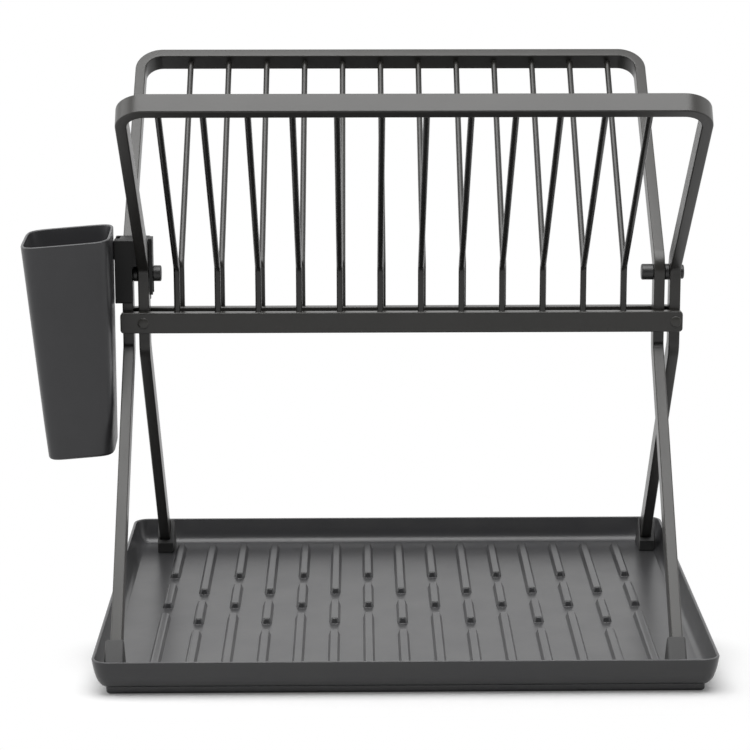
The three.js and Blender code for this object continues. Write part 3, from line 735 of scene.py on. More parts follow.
@dataclass
class TubeFrame:
    """One bent tube, foot to foot, with level-cut ends."""

    lines: RackLines
    side: Side
    depth: float = 14.5
    width: float = 8.0
    edge: float = 0.9
    edge_segments: int = 3
    bend_radius: float = 14.0
    bend_steps: int = 12
    corner_radius: float = 17.0
    corner_steps: int = 20
    top_reach: float = 221.2
    foot_y: float = 166.33
    foot_z: float = 10.3
    overrun: float = 12.0  # how far the leg is drawn on below its level cut
    mirror_seam: float = 0.01  # the two halves join where they are nearer than this
    finish: Finish = COATED_TUBE

    def build(self) -> bpy.types.Object:
        """Bend one half of the tube up from its foot, cut the foot level and mirror it.

        Returns:
            The piece.
        """
        lines = self.lines
        tilt = math.radians(lines.tilt)
        drop = lines.lower_bend_z - self.foot_z
        splay = math.atan2(self.foot_y, drop)
        bm = bmesh.new()
        sizes = (self.width / 2 * MM, self.depth / 2 * MM, self.edge * MM)
        ring = RoundedRing(bm, *sizes, 0.0, self.edge_segments).start()
        # The back frame's lower leg leans back on its way up, so the ring is tipped to face along it.
        direction = Vector((0.0, math.sin(splay), math.cos(splay)))
        start = Vector((lines.leg_x, -self.foot_y, self.foot_z)) * MM - direction * self.overrun * MM
        place = Matrix.Translation(start) @ Matrix.Rotation(-splay, 4, "X")
        bmesh.ops.transform(bm, matrix=place, verts=ring.verts)
        run = Run(bm, ring.edges, ring.verts, start, direction)
        lower_reach = self.bend_radius * math.tan(splay / 2)
        upper_reach = self.bend_radius * math.tan(tilt / 2)
        leg = math.hypot(self.foot_y, drop) + self.overrun
        across = Vector((0.0, -math.cos(splay), math.sin(splay)))
        run.straight((leg - lower_reach) * MM)
        run.bend(across, self.bend_radius * MM, splay, self.bend_steps)
        run.straight((lines.upper_bend_z - lines.lower_bend_z - lower_reach - upper_reach) * MM)
        run.bend(Y_AXIS.copy(), self.bend_radius * MM, tilt, self.bend_steps)
        run.straight((self.top_reach - self.width / 2 - self.corner_radius - upper_reach) * MM)
        run.bend(-X_AXIS, self.corner_radius * MM, math.pi / 2, self.corner_steps)
        run.straight((lines.leg_x - self.corner_radius) * MM)
        level = self.foot_z * MM
        bmesh.ops.bisect_plane(
            bm,
            geom=bm.verts[:] + bm.edges[:] + bm.faces[:],
            plane_co=Vector((0.0, 0.0, level)),
            plane_no=Z_AXIS,
            clear_inner=True,
        )
        rim = [e for e in bm.edges if e.is_boundary]
        foot = [e for e in rim if all(abs(v.co.z - level) < SEAM * MM for v in e.verts)]
        bmesh.ops.contextual_create(bm, geom=foot)
        whole = bm.verts[:] + bm.edges[:] + bm.faces[:]
        bmesh.ops.mirror(bm, geom=whole, axis="X", merge_dist=self.mirror_seam * MM)
        if self.side is Side.FRONT:
            bmesh.ops.scale(bm, vec=(1.0, -1.0, 1.0), verts=bm.verts)
        aside = -self.side.value * lines.shift * MM
        bmesh.ops.translate(bm, vec=Vector((aside, 0.0, 0.0)), verts=bm.verts)
        label = self.side.label
        return finish_piece(bm, f"{label}_tube", self.finish, label, [f"{label}_frame"])


@dataclass
class Crossbar:
    """Flat bar across the legs of one frame, held by two domed rivets."""

    lines: RackLines
    side: Side
    half_length: float = 208.0
    height: float = 15.4
    depth: float = 7.5
    corner: float = 2.6
    corner_segments: int = 5
    edge: float = 0.9
    edge_steps: int = 4
    rivet_radius: float = 4.1
    rivet_rise: float = 0.8
    rivet_sides: int = 32
    dome_angles: tuple[float, ...] = (4.0, 20.0, 38.0, 56.0, 74.0, 90.0)
    root_depth: float = 1.0  # how far a rivet's head goes on into the bar
    root_taper: float = 0.6  # how much it narrows there
    finish: Finish = COATED_TUBE
    rivet_finish: Finish = COATED_RIVET

    def build(self) -> list[bpy.types.Object]:
        """Make the bar and its rivets.

        Returns:
            The pieces.
        """
        bm = bmesh.new()
        ring = RoundedRing(bm, *self._outline(self.edge), 0.0, self.corner_segments).start()
        ring.close()
        edge = rounding(self.edge, self.edge_steps)
        for inset, rise in edge[1:]:
            ring.step(*self._outline(inset), rise * MM)
        for inset, rise in reversed(edge):
            ring.step(*self._outline(inset), (self.depth - rise) * MM)
        ring.close()
        back_y = self.side.value * self.lines.bar_y + self.depth / 2
        stand = Matrix.Translation(Vector((0.0, back_y, self.lines.bar_z)) * MM)
        bmesh.ops.transform(bm, matrix=stand @ Matrix.Rotation(math.pi / 2, 4, "X"), verts=bm.verts)
        label = self.side.label
        bar = finish_piece(bm, f"{label}_bar", self.finish, label, [f"{label}_crossbar"])
        return [bar] + [self._rivet(hand) for hand in Hand]

    def _outline(self, inset: float) -> tuple[float, float, float]:
        """Half sizes and corner radius of the bar's face, set in by so much, in metres."""
        return (self.half_length - inset) * MM, (self.height / 2 - inset) * MM, (self.corner - inset) * MM

    def _rivet(self, hand: Hand) -> bpy.types.Object:
        """Turn one rivet's domed head, set into the bar's face.

        Args:
            hand: Which end of the bar.

        Returns:
            The piece.
        """
        seat = self.rivet_rise + self.lines.seat_gap
        top_y = self.side.value * (self.lines.bar_y + self.depth / 2 + seat)
        start = Vector((self.lines.leg_at(self.side, hand), top_y, self.lines.bar_z))
        turns = [math.radians(angle) for angle in self.dome_angles]
        profile = [(self.rivet_rise * (1 - math.cos(t)), self.rivet_radius * math.sin(t)) for t in turns]
        profile += [(seat, self.rivet_radius), (seat + self.root_depth, self.rivet_radius - self.root_taper)]
        bm = revolve(start, -Y_AXIS * self.side.value, profile, self.rivet_sides)
        name = f"{self.side.label}_{hand.label}_rivet"
        return finish_piece(bm, f"{name}_head", self.rivet_finish, self.side.label, [name])


@dataclass
class WireRow:
    """The plate wires of one frame, welded between its crossbar and its top bar."""

    lines: RackLines
    side: Side
    count: int = 12
    pitch: float = 30.0
    radius: float = 2.3
    shift: float = 1.0
    bend_drop: float = 0.8
    bend_radius: float = 9.0
    bend_steps: int = 8
    sides: int = 20
    bar_top: float = 238.6
    top_reach: float = 213.5
    weld: float = 0.5  # height and width of the weld's bead
    # Shares of the bead's width along the wire and of its height, from the bar on
    bead_shares: tuple[tuple[float, float], ...] = ((0.0, 1.0), (1 / 3, 1 / 3), (1.0, 0.0))
    # painted shade: the wires' coat colours are darker than the tube's same coat
    finish: Finish = COATED_WIRE_WITH_PAINTED_SHADE

    def build(self) -> list[bpy.types.Object]:
        """Bend each wire and weld it in.

        Returns:
            The pieces.
        """
        return [self._wire(i) for i in range(self.count)]

    def _wire(self, index: int) -> bpy.types.Object:
        """Bend one wire.

        Args:
            index: Its place in the row, from the left.

        Returns:
            The piece.
        """
        lines = self.lines
        tilt = math.radians(lines.tilt)
        bend_z = lines.upper_bend_z - self.bend_drop
        upper_bend = Vector((0.0, 0.0, lines.upper_bend_z))
        seat = upper_bend + Vector((0.0, math.sin(tilt), math.cos(tilt))) * self.top_reach
        slope = seat - Vector((0.0, lines.bar_y, bend_z))
        angle = math.atan2(slope.y, slope.z)
        reach = self.bend_radius * math.tan(angle / 2)
        bm = bmesh.new()
        wide = (self.radius + self.weld) * MM
        made = bmesh.ops.create_circle(bm, cap_ends=False, segments=self.sides, radius=wide)
        start = Vector((0.0, lines.bar_y, self.bar_top)) * MM
        bmesh.ops.translate(bm, vec=start, verts=made["verts"])
        run = Run(bm, bm.edges[:], made["verts"], start, Z_AXIS.copy())
        bmesh.ops.contextual_create(bm, geom=bm.edges[:])
        self._bead(run, self.bead_shares)
        run.straight((bend_z - self.bar_top - reach - self.weld) * MM)
        run.bend(Y_AXIS.copy(), self.bend_radius * MM, angle, self.bend_steps)
        run.straight((slope.length - reach - self.weld) * MM)
        self._bead(run, self.bead_shares[::-1])
        bmesh.ops.contextual_create(bm, geom=run.edges)
        if self.side is Side.FRONT:
            bmesh.ops.scale(bm, vec=(1.0, -1.0, 1.0), verts=bm.verts)
        x = (index - (self.count - 1) / 2) * self.pitch + self.side.value * self.shift
        bmesh.ops.translate(bm, vec=Vector((x * MM, 0.0, 0.0)), verts=bm.verts)
        label, number = self.side.label, f"{index + 1:02d}"
        name = f"{label}_plate_wire_{number}"
        return finish_piece(bm, name, self.finish, label, [f"{label}_wire_{number}"])

    def _bead(self, run: Run, shares: tuple[tuple[float, float], ...]) -> None:
        """Draw the wire on through the bead of a weld.

        Args:
            run: The wire's open end.
            shares: The bead's shares, in the order in which the wire is drawn.
        """
        for (along, out), (next_along, next_out) in zip(shares, shares[1:]):
            run.straight(abs(next_along - along) * self.weld * MM)
            run.swell((self.radius + next_out * self.weld) / (self.radius + out * self.weld))


@dataclass
class FootCap:
    """Moulded shoe on one leg's end, softened along its edges."""

    side: Side  # end of the tray on which the foot stands
    hand: Hand
    edge: float = 0.45
    edge_above: float = 30.0  # degrees: flatter edges stay as they are
    finish: Finish = CAP_PLASTIC

    def build(self) -> bpy.types.Object:
        """Soften a joined copy of the cap.

        Returns:
            The piece.
        """
        node = f"{self.side.label}_{self.hand.label}_foot_cap"
        bm = merged_copy(node)
        soften(bm, self.edge, self.edge_above)
        # The legs cross, so the shoe at the front of the tray is on the back frame.
        return finish_piece(bm, f"{node}_shoe", self.finish, self.side.other.label, [node])


@dataclass
class Pivot:
    """Pins through the legs on both sides, with their knobs and the rings between the legs."""

    lines: RackLines
    pin_radius: float = 3.0
    head_radius: float = 5.3
    head_length: float = 2.4
    knob_radius: float = 5.9
    knob_end: float = 178.0
    knob_edge: float = 1.0
    knob_bevel: float = 0.3  # on the knob's other end
    collar_radius: float = 4.0
    collar_length: float = 3.1
    spacer_radius: float = 6.0
    spacer_edge: float = 0.5
    edge_steps: int = 4
    half_tube: float = 4.0
    sides: int = 40
    finish: Finish = PIN_PLASTIC

    def build(self) -> list[bpy.types.Object]:
        """Turn both pins and both rings.

        Returns:
            The pieces.
        """
        return [make(hand) for hand in Hand for make in (self._pin, self._ring)]

    def _rounded(self, along: float, radius: float, edge: float, rising: bool) -> list[tuple[float, float]]:
        """Stations of a rounded edge.

        Args:
            along: Distance of the end face.
            radius: Full radius.
            edge: Radius of the rounding.
            rising: True where the form starts at the end face.

        Returns:
            Distances and radii, in order along the axis.
        """
        sign = 1 if rising else -1
        points = [(along + sign * rise, radius - inset) for inset, rise in rounding(edge, self.edge_steps)]
        return points if rising else points[::-1]

    def _pin(self, hand: Hand) -> bpy.types.Object:
        """Turn one pin: outer head, shank, collar on the hanger's side, and knob.

        Args:
            hand: Which end of the rack.

        Returns:
            The piece.
        """
        lines = self.lines
        outer = lines.outer_leg_x + self.half_tube + lines.seat_gap
        inner = lines.inner_leg_x - self.half_tube - lines.seat_gap
        tip = outer + self.head_length
        collar = self.collar_length if hand is Hand.LEFT else 0.0
        knob = tip - inner + collar
        profile = self._rounded(0.0, self.head_radius, self.knob_edge, True)
        profile += [(self.head_length, self.head_radius), (self.head_length, self.pin_radius)]
        profile += [(tip - inner, self.pin_radius)]
        if collar:
            profile += [(tip - inner, self.collar_radius), (knob, self.collar_radius)]
        profile += [(knob, self.knob_radius - self.knob_bevel), (knob + self.knob_bevel, self.knob_radius)]
        profile += self._rounded(tip - self.knob_end, self.knob_radius, self.knob_edge, False)
        start = Vector((hand.value * tip, 0.0, lines.pivot_z))
        bm = revolve(start, -X_AXIS * hand.value, profile, self.sides)
        name = f"{hand.label}_pivot_pin"
        return finish_piece(bm, f"{name}_turned", self.finish, "pivot", [name])

    def _ring(self, hand: Hand) -> bpy.types.Object:
        """Turn the ring between the two legs of one side.

        Args:
            hand: Which end of the rack.

        Returns:
            The piece.
        """
        lines = self.lines
        start = lines.inner_leg_x + self.half_tube + lines.seat_gap
        length = lines.outer_leg_x - self.half_tube - lines.seat_gap - start
        profile = self._rounded(0.0, self.spacer_radius, self.spacer_edge, True)
        profile += self._rounded(length, self.spacer_radius, self.spacer_edge, False)
        origin = Vector((hand.value * start, 0.0, lines.pivot_z))
        bm = revolve(origin, X_AXIS * hand.value, profile, self.sides)
        name = f"{hand.label}_pivot_spacer"
        return finish_piece(bm, f"{name}_ring", self.finish, "pivot", [name])


@dataclass
class CupHanger:
    """Saddle in the notch of the left legs, with the slot for the cup's rail."""

    edge: float = 0.5
    edge_above: float = 50.0  # degrees: flatter edges stay as they are
    finish: Finish = HANGER_PLASTIC

    def build(self) -> bpy.types.Object:
        """Soften a joined copy of the hanger.

        Returns:
            The piece.
        """
        bm = merged_copy("cup_hanger")
        soften(bm, self.edge, self.edge_above)
        return finish_piece(bm, "cup_hanger_saddle", self.finish, "hanger", ["cup_hanger"])


@dataclass(frozen=True)
class CupOutline:
    """The cup's outside at one height: its middle along X, its height and its half sizes."""

    x: float
    z: float
    half_x: float
    half_y: float


@dataclass
class CutleryCup:
    """Tapered cup with bowed sides, a rounded rim and foot, drain holes and its rail."""

    top: CupOutline = CupOutline(-244.4, 297.4, 32.4, 34.2)
    bottom: CupOutline = CupOutline(-236.8, 137.2, 24.6, 26.6)
    middle_y: float = -20.5
    lean: float = 4.5  # degrees by which rim and foot drop to the outside
    tip: float = 2.5  # degrees by which they drop to the front
    turn: float = 1.6  # degrees about the upright
    squareness: float = 6.0  # 2 is round, and more is squarer
    wall: float = 2.0
    floor: float = 2.6
    foot: float = 2.6
    foot_steps: int = 4
    rim: float = 0.9
    rim_steps: int = 6
    sides: int = 96
    rings: int = 6
    drain_radius: float = 2.2
    drain_share: float = 0.5  # radius of the ring of holes over the half width
    drains: int = 6
    drain_sides: int = 24
    drill_length: float = 20.8
    rail_y: float = 1.0
    rail_z: tuple[float, float] = (276.4, 290.0)
    rail_x: tuple[float, float] = (-209.95, -208.55)
    rail_edge: float = 0.25
    neck_half: float = 2.5
    neck_root: float = 1.4  # how far the neck starts inside the wall
    flange_half: float = 6.0
    finish: Finish = CUP_PLASTIC

    def build(self) -> bpy.types.Object:
        """Draw the cup up from its foot, over the rim and down to its floor.

        Returns:
            The piece.
        """
        bm = bmesh.new()
        made = bmesh.ops.create_circle(bm, cap_ends=False, segments=self.sides, radius=1.0)
        for vert in made["verts"]:
            for axis in (0, 1):
                share = vert.co[axis]
                vert.co[axis] = math.copysign(abs(share) ** (2 / self.squareness), share)
        unit = [v.co.copy() for v in made["verts"]]
        run = Run(bm, bm.edges[:], list(made["verts"]), Vector(), Z_AXIS.copy())
        stations = self._stations()
        self._place(run.verts, unit, *stations[0])
        bmesh.ops.contextual_create(bm, geom=run.edges)
        order = {vert: i for i, vert in enumerate(run.verts)}
        for station in stations[1:]:
            run.straight(0.0)
            # Each new corner takes the number of the one below it.
            order = {
                vert: next(order[e.other_vert(vert)] for e in vert.link_edges if e.other_vert(vert) in order)
                for vert in run.verts
            }
            run.verts.sort(key=order.get)
            self._place(run.verts, unit, *station)
        bmesh.ops.contextual_create(bm, geom=run.edges)
        bmesh.ops.recalc_face_normals(bm, faces=bm.faces)
        shell = put_in_scene(bm, "cup_shell")
        for hole in range(self.drains + 1):
            cut_away(shell, self._drill(hole))
        bm = take_back(shell)
        self._rail(bm)
        return finish_piece(bm, "cutlery_cup_shell", self.finish, "cup", ["cutlery_cup"])

    def _stations(self) -> list[tuple[float, float, float]]:
        """List the rings from foot to floor.

        Returns:
            Share of the height, inset and lift of each ring.
        """
        foot = rounding(self.foot, self.foot_steps)
        stations = [(0.0, inset, rise) for inset, rise in foot]
        stations += [(ring / self.rings, 0.0, 0.0) for ring in range(1, self.rings)]
        half = self.wall / 2
        for step in range(self.rim_steps + 1):
            turn = math.pi * step / self.rim_steps
            stations.append((1.0, half - half * math.cos(turn), -self.rim + self.rim * math.sin(turn)))
        stations += [(ring / self.rings, self.wall, 0.0) for ring in range(self.rings - 1, 0, -1)]
        stations += [(0.0, self.wall + inset, self.floor + rise) for inset, rise in reversed(foot)]
        return stations

    def _place(
        self,
        verts: list[bmesh.types.BMVert],
        unit: list[Vector],
        share: float,
        inset: float,
        lift: float,
    ) -> None:
        """Move one ring to its size and place on the leaning, turned cup.

        Args:
            verts: The ring's corners, in the order of the unit outline.
            unit: The unit outline.
            share: Share of the height.
            inset: How far the ring is set in from the outside.
            lift: How far it is raised.
        """
        ends = zip(astuple(self.bottom), astuple(self.top))
        x, z, half_x, half_y = (low + (high - low) * share for low, high in ends)
        lean, tip = math.tan(math.radians(self.lean)), math.tan(math.radians(self.tip))
        turn = math.radians(self.turn)
        for vert, point in zip(verts, unit):
            dx, dy = (half_x - inset) * point.x, (half_y - inset) * point.y
            vert.co = Vector(
                (
                    x + dx * math.cos(turn) - dy * math.sin(turn),
                    self.middle_y + dx * math.sin(turn) + dy * math.cos(turn),
                    z + dx * lean + dy * tip + lift,
                )
            ) * MM

    def _drill(self, hole: int) -> bpy.types.Object:
        """Make the cutter for one drain hole.

        Args:
            hole: Its place in the ring, the last one being in the middle.

        Returns:
            The cutter.
        """
        out = 0.0 if hole == self.drains else self.bottom.half_x * self.drain_share
        angle = 2 * math.pi * hole / self.drains
        middle = Vector((self.bottom.x, self.middle_y, self.bottom.z))
        place = middle + Vector((math.cos(angle), math.sin(angle), 0.0)) * out
        bm = bmesh.new()
        bmesh.ops.create_cone(
            bm,
            cap_ends=True,
            segments=self.drain_sides,
            radius1=self.drain_radius * MM,
            radius2=self.drain_radius * MM,
            depth=self.drill_length * MM,
            matrix=Matrix.Translation(place * MM),
        )
        return put_in_scene(bm, "drain_cutter")

    def _rail(self, bm: bmesh.types.BMesh) -> None:
        """Add the rail that drops into the hanger: a neck from the wall and a flange.

        Args:
            bm: The cup's mesh.
        """
        root = self.top.x + self.top.half_x - self.wall / 2 - self.neck_root
        for span_x, half_y in (((root, self.rail_x[1]), self.neck_half), (self.rail_x, self.flange_half)):
            span_y = (self.rail_y - half_y, self.rail_y + half_y)
            block(bm, (span_x, span_y, self.rail_z), self.rail_edge)


@dataclass
class DripTray:
    """Shallow moulded tray: plinth, flared wall, rounded rim, ribbed floor."""

    lines: RackLines
    half_x: float = 218.3
    half_y: float = 187.7
    height: float = 26.3
    wall: float = 2.2
    flare: float = 9.7
    corner: float = 12.0
    corner_segments: int = 10
    plinth: float = 5.5
    plinth_edge: float = 2.4
    rim_edge: float = 0.77
    edge_steps: int = 3
    pocket_edge: float = 12.0  # solid margin around the hollows under the floor
    pocket_web: float = 26.0  # solid cross between them
    pocket_corner: float = 10.0
    pocket_segments: int = 6
    # Skin above the plinth: share of the height, then share of the flare still left
    bowl_shares: tuple[tuple[float, float], ...] = (
        (0.0, 1.0),
        (0.01, 0.94),
        (0.03, 0.86),
        (0.06, 0.755),
        (0.1, 0.64),
        (0.155, 0.535),
        (0.22, 0.44),
        (0.3, 0.35),
        (0.4, 0.27),
        (0.52, 0.195),
        (0.65, 0.13),
        (0.82, 0.06),
        (1.0, 0.0),
    )
    rib_count: int = 15
    rib_pitch: float = 25.4
    rib_reach: float = 161.0
    rib_half: float = 4.0
    rib_foot: float = 0.35  # how far the fillet at the foot of a rib runs out over the floor
    # Height of each ring of a rib, and how far it is set in from the foot: steep flanks, a soft edge
    # and a nearly flat crown.
    rib_rings: tuple[tuple[float, float], ...] = (
        (0.0, -0.35),
        (0.12, -0.12),
        (0.4, 0.0),
        (1.9, 0.55),
        (3.3, 1.1),
        (3.75, 1.36),
        (4.02, 1.7),
        (4.17, 2.15),
        (4.24, 2.8),
    )
    rib_end_segments: int = 7
    rib_end_share: float = 0.68  # how round a rib's end is, where 1 is a half circle
    # Ends of the drain gaps along a rib, as shares of its reach, for every other rib in turn
    rib_gap_shares: tuple[tuple[tuple[float, float], ...], ...] = (
        ((-0.164, -0.024), (0.314, 0.466)),
        ((-0.419, -0.271), (0.039, 0.199)),
    )
    crease: float = 50.0  # degrees: flatter edges are shaded smooth
    finish: Finish = TRAY_PLASTIC

    def build(self) -> bpy.types.Object:
        """Draw the skin from the plinth over the rim to the floor, cut the hollows and add the ribs.

        Returns:
            The piece.
        """
        bm = bmesh.new()
        foot = self._outline(self.flare + self.plinth_edge)
        ring = RoundedRing(bm, *foot, 0.0, self.corner_segments).start()
        ring.close()
        for inset, rise in rounding(self.plinth_edge, self.edge_steps)[1:]:
            self._step(ring, self.flare + inset, rise)
        rim = rounding(self.rim_edge, self.edge_steps)[1:]
        rim_z, floor_z = self.height - self.rim_edge, self.lines.floor_z
        for up, left in self.bowl_shares:
            self._step(ring, self.flare * left, self.plinth + (rim_z - self.plinth) * up)
        for drop, inset in rim:
            self._step(ring, inset, self.height - drop)
        for drop, inset in reversed(rim):
            self._step(ring, self.wall - inset, self.height - drop)
        for up, left in reversed(self.bowl_shares):
            self._step(ring, self.wall + (self.flare - self.wall) * left, floor_z + (rim_z - floor_z) * up)
        ring.close()
        bmesh.ops.recalc_face_normals(bm, faces=bm.faces)
        shell = put_in_scene(bm, "tray_shell")
        for sign_x in (-1, 1):
            for sign_y in (-1, 1):
                cut_away(shell, self._pocket(sign_x, sign_y))
        bm = take_back(shell)
        for rib in range(self.rib_count):
            self._rib(bm, rib)
        return finish_piece(bm, "drip_tray_moulding", self.finish, "tray", ["drip_tray"], self.crease)

    def _outline(self, inset: float) -> tuple[float, float, float]:
        """Half sizes and corner radius of the outline, set in from the rim, in metres."""
        radius = max(self.corner - inset, self.wall)
        return (self.half_x - inset) * MM, (self.half_y - inset) * MM, radius * MM

    def _step(self, ring: RoundedRing, inset: float, z: float) -> None:
        """Grow the tray's skin by one ring, set in by so much at that height."""
        ring.step(*self._outline(inset), z * MM)

    def _pocket(self, sign_x: int, sign_y: int) -> bpy.types.Object:
        """Make the cutter for the hollow under one quarter of the floor.

        Args:
            sign_x: Side along X.
            sign_y: Side along Y.

        Returns:
            The cutter.
        """
        margin = self.flare + self.pocket_edge + self.pocket_web / 2
        half_x, half_y = (self.half_x - margin) / 2, (self.half_y - margin) / 2
        sizes = (half_x * MM, half_y * MM, self.pocket_corner * MM)
        bm = bmesh.new()
        ring = RoundedRing(bm, *sizes, -self.plinth * MM, self.pocket_segments).start()
        ring.close()
        ring.step(*sizes, self.plinth * MM).close()
        x, y = self.pocket_web / 2 + half_x, self.pocket_web / 2 + half_y
        bmesh.ops.translate(bm, vec=Vector((sign_x * x, sign_y * y, 0.0)) * MM, verts=bm.verts)
        bmesh.ops.recalc_face_normals(bm, faces=bm.faces)
        return put_in_scene(bm, "pocket_cutter")

    def _rib(self, bm: bmesh.types.BMesh, rib: int) -> None:
        """Add the raised stretches of one rib.

        Args:
            bm: The tray's mesh.
            rib: The rib's place from the left.
        """
        x = (rib - (self.rib_count - 1) / 2) * self.rib_pitch
        start = -1.0
        for gap in self.rib_gap_shares[rib % len(self.rib_gap_shares)] + ((1.0, 1.0),):
            self._stretch(bm, x, start * self.rib_reach, gap[0] * self.rib_reach)
            start = gap[1]

    def _stretch(self, bm: bmesh.types.BMesh, x: float, from_y: float, to_y: float) -> None:
        """Add one stretch with a rounded crown and sloping, rounded ends.

        Args:
            bm: The tray's mesh.
            x: The rib's middle along X.
            from_y: Front end.
            to_y: Back end.
        """
        part = bmesh.new()
        floor_z, sink, share = self.lines.floor_z, self.rib_foot, self.rib_end_share
        half, wide = (to_y - from_y) / 2, self.rib_half + sink
        sizes = (wide * MM, (half + sink) * MM, share * wide * MM)
        ring = RoundedRing(part, *sizes, (floor_z - sink) * MM, self.rib_end_segments).start()
        ring.close()
        for up, inset in self.rib_rings:
            width = self.rib_half - inset
            ring.step(width * MM, (half - inset) * MM, share * width * MM, (floor_z + up) * MM)
        ring.close()
        bmesh.ops.translate(part, vec=Vector((x, (from_y + to_y) / 2, 0)) * MM, verts=part.verts)
        mesh = bpy.data.meshes.new("rib")
        part.to_mesh(mesh)
        part.free()
        bm.from_mesh(mesh)
        bpy.data.meshes.remove(mesh)


@dataclass(frozen=True)
class Softbox:
    """One soft lamp."""

    name: str
    place: tuple[float, float, float]  # metres
    aim: tuple[float, float, float]  # metres
    size: tuple[float, float]  # metres
    power: float  # watts

    def hang(self) -> None:
        """Hang the lamp and turn it to what it lights."""
        data = bpy.data.lights.new(self.name, "AREA")
        data.shape = "RECTANGLE"
        data.size, data.size_y = self.size
        data.energy = self.power
        lamp = bpy.data.objects.new(self.name, data)
        lamp.location = self.place
        lamp.rotation_euler = (Vector(self.aim) - Vector(self.place)).to_track_quat("-Z", "Y").to_euler()
        bpy.context.scene.collection.objects.link(lamp)


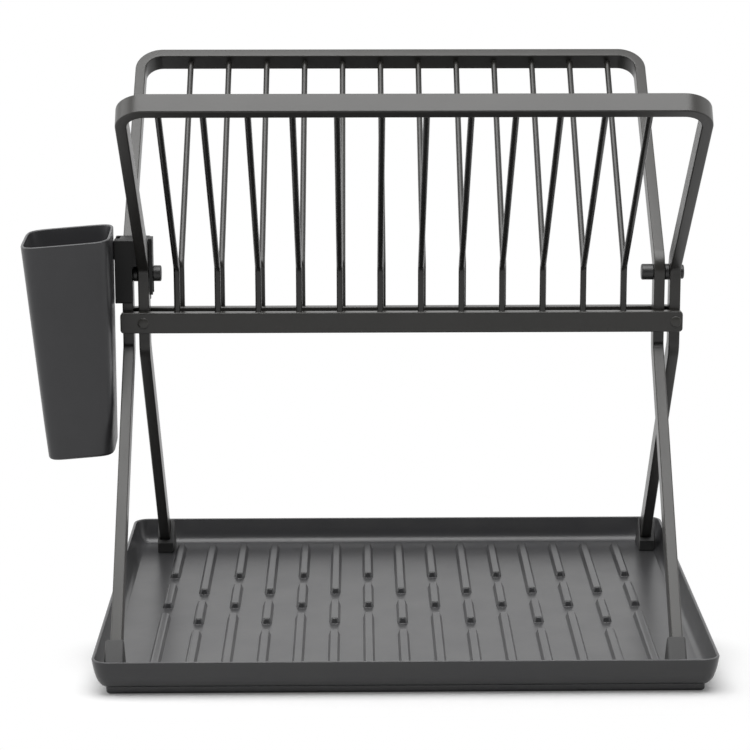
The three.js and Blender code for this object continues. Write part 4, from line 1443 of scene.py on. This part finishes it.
@dataclass
class Studio:
    """White sweep, dark flag, soft lamps and the camera of the photograph."""

    camera_at: tuple[float, float, float] = (-32.9, -1887.6, 596.4)
    pitch: float = 12.228  # degrees down from level
    yaw: float = -1.0  # degrees, counterclockwise from above
    lens: float = 123.9
    sensor: float = 36.0
    shift_x: float = -0.0357
    shift_y: float = 0.0014
    clip: tuple[float, float] = (0.05, 50.0)  # metres
    floor_half: float = 6000.0
    paper: str = "#e6e6e6"
    shade: str = "#979797"  # what the floor throws back up at the object
    glow_near: float = 0.13  # what the paper lacks to pure white beside the object
    glow_span: tuple[float, float] = (0.004, 0.055)  # metres out from where the shadow shows
    # Where the shadow shows: a box along the front of the tray's foot, in metres.
    shadow_at: tuple[float, float, float] = (0.0, -0.138, 0.0)
    shadow_half: tuple[float, float, float] = (0.2086, 0.04, 0.0)
    sky: float = 0.12
    flag_at: float = -3.0  # metres along Y
    flag_size: tuple[float, float, float] = (6.0, 0.35, 3.6)  # metres: width, foot and top
    flag_cloth: str = "#202020"
    softboxes: tuple[Softbox, ...] = (
        Softbox("top_softbox", (-0.12, -0.46, 2.1), (0.0, -0.1, 0.1), (2.3, 1.6), 56.0),
        Softbox("left_softbox", (-2.1, 0.1, 0.9), (0.0, 0.0, 0.2), (1.6, 1.8), 14.0),
        Softbox("right_softbox", (2.1, 0.1, 0.9), (0.0, 0.0, 0.2), (1.6, 1.8), 5.0),
    )

    def build(self) -> None:
        """Place the camera, the floor and the lamps."""
        scene = bpy.context.scene
        scene.view_settings.view_transform = "Standard"
        data = bpy.data.cameras.new("photo_camera")
        data.lens = self.lens
        data.sensor_width = self.sensor
        data.shift_x = self.shift_x
        data.shift_y = self.shift_y
        data.clip_start, data.clip_end = self.clip
        camera = bpy.data.objects.new("photo_camera", data)
        camera.location = Vector(self.camera_at) * MM
        camera.rotation_euler = (math.radians(90 - self.pitch), 0.0, math.radians(self.yaw))
        scene.collection.objects.link(camera)
        scene.camera = camera
        self._floor()
        self._flag()
        self._world()
        for softbox in self.softboxes:
            softbox.hang()

    def _seen(self, tree: bpy.types.NodeTree) -> bpy.types.NodeSocket:
        """Tell the camera's own rays and those of gloss and glass from those that light the object.

        Args:
            tree: The node tree that asks.

        Returns:
            A socket that is 1 for a ray that shows the background.
        """
        ray = add_node(tree, "ShaderNodeLightPath")
        mirrored = add_node(
            tree,
            "ShaderNodeMath",
            {"operation": "MAXIMUM"},
            {0: ray.outputs["Is Camera Ray"], 1: ray.outputs["Is Glossy Ray"]},
        )
        shown = add_node(
            tree,
            "ShaderNodeMath",
            {"operation": "MAXIMUM"},
            {0: mirrored.outputs[0], 1: ray.outputs["Is Transmission Ray"]},
        )
        return shown.outputs[0]

    def _floor(self) -> None:
        """Lay the white floor, which shows the object's shadow and fades to pure white round it."""
        bm = bmesh.new()
        bmesh.ops.create_grid(bm, x_segments=1, y_segments=1, size=self.floor_half * MM)
        floor = put_in_scene(bm, "studio_floor")
        paint = bpy.data.materials.new("white_paper")
        tree = bare_tree(paint)
        place = add_node(tree, "ShaderNodeTexCoord")
        # How far a point lies from the box in which the shadow shows
        socket = place.outputs["Object"]
        for step in (
            {"operation": "SUBTRACT", 1: self.shadow_at},
            {"operation": "ABSOLUTE"},
            {"operation": "SUBTRACT", 1: self.shadow_half},
            {"operation": "MAXIMUM", 1: (0.0, 0.0, 0.0)},
        ):
            socket = add_node(tree, "ShaderNodeVectorMath", step, {0: socket}).outputs["Vector"]
        away = add_node(tree, "ShaderNodeVectorMath", {"operation": "LENGTH"}, {0: socket})
        near, far = self.glow_span
        fade = add_node(
            tree,
            "ShaderNodeMapRange",
            {"interpolation_type": "SMOOTHSTEP", "From Min": near, "From Max": far},
            {"Value": away.outputs["Value"]},
        )
        paper = add_node(tree, "ShaderNodeBsdfDiffuse", {"Color": linear(self.paper)})
        lift = add_node(tree, "ShaderNodeEmission", {"Color": WHITE, "Strength": self.glow_near})
        glow = add_node(tree, "ShaderNodeEmission", {"Color": WHITE, "Strength": 1.0})
        close = add_node(tree, "ShaderNodeAddShader", links={0: paper.outputs[0], 1: lift.outputs[0]})
        shown = add_node(
            tree,
            "ShaderNodeMixShader",
            links={0: fade.outputs["Result"], 1: close.outputs[0], 2: glow.outputs[0]},
        )
        shade = add_node(tree, "ShaderNodeBsdfDiffuse", {"Color": linear(self.shade)})
        both = add_node(
            tree,
            "ShaderNodeMixShader",
            links={0: self._seen(tree), 1: shade.outputs[0], 2: shown.outputs[0]},
        )
        add_node(tree, "ShaderNodeOutputMaterial", links={"Surface": both.outputs[0]})
        floor.data.materials.append(paint)

    def _flag(self) -> None:
        """Hang a dark cloth behind the camera, so that faces turned to the front stay dark."""
        width, foot, top = self.flag_size
        bm = bmesh.new()
        made = bmesh.ops.create_grid(bm, x_segments=1, y_segments=1, size=0.5)
        shape = Matrix.Rotation(math.pi / 2, 4, "X") @ Matrix.Diagonal((width, top - foot, 1.0, 1.0))
        place = Matrix.Translation((0.0, self.flag_at, (top + foot) / 2))
        bmesh.ops.transform(bm, matrix=place @ shape, verts=made["verts"])
        flag = put_in_scene(bm, "dark_flag")
        flag.visible_camera = False
        cloth = bpy.data.materials.new("black_cloth")
        tree = bare_tree(cloth)
        matt = add_node(tree, "ShaderNodeBsdfDiffuse", {"Color": linear(self.flag_cloth)})
        add_node(tree, "ShaderNodeOutputMaterial", links={"Surface": matt.outputs[0]})
        flag.data.materials.append(cloth)

    def _world(self) -> None:
        """Surround the object with soft grey light, white where the background shows."""
        world = bpy.data.worlds.new("white_sweep")
        bpy.context.scene.world = world
        tree = bare_tree(world)
        soft = add_node(tree, "ShaderNodeBackground", {"Color": WHITE, "Strength": self.sky})
        white = add_node(tree, "ShaderNodeBackground", {"Color": WHITE, "Strength": 1.0})
        both = add_node(
            tree,
            "ShaderNodeMixShader",
            links={0: self._seen(tree), 1: soft.outputs[0], 2: white.outputs[0]},
        )
        add_node(tree, "ShaderNodeOutputWorld", links={"Surface": both.outputs[0]})


def main() -> None:
    """Build and dress every sub-assembly, then the studio."""
    logging.basicConfig(level=logging.INFO, format="%(name)s %(message)s")
    lines = RackLines()
    DripTray(lines).build()
    for side in Side:
        TubeFrame(lines, side).build()
        Crossbar(lines, side).build()
        WireRow(lines, side).build()
        for hand in Hand:
            FootCap(side, hand).build()
    Pivot(lines).build()
    CupHanger().build()
    CutleryCup().build()
    Studio().build()


if __name__ == "__main__":
    main()
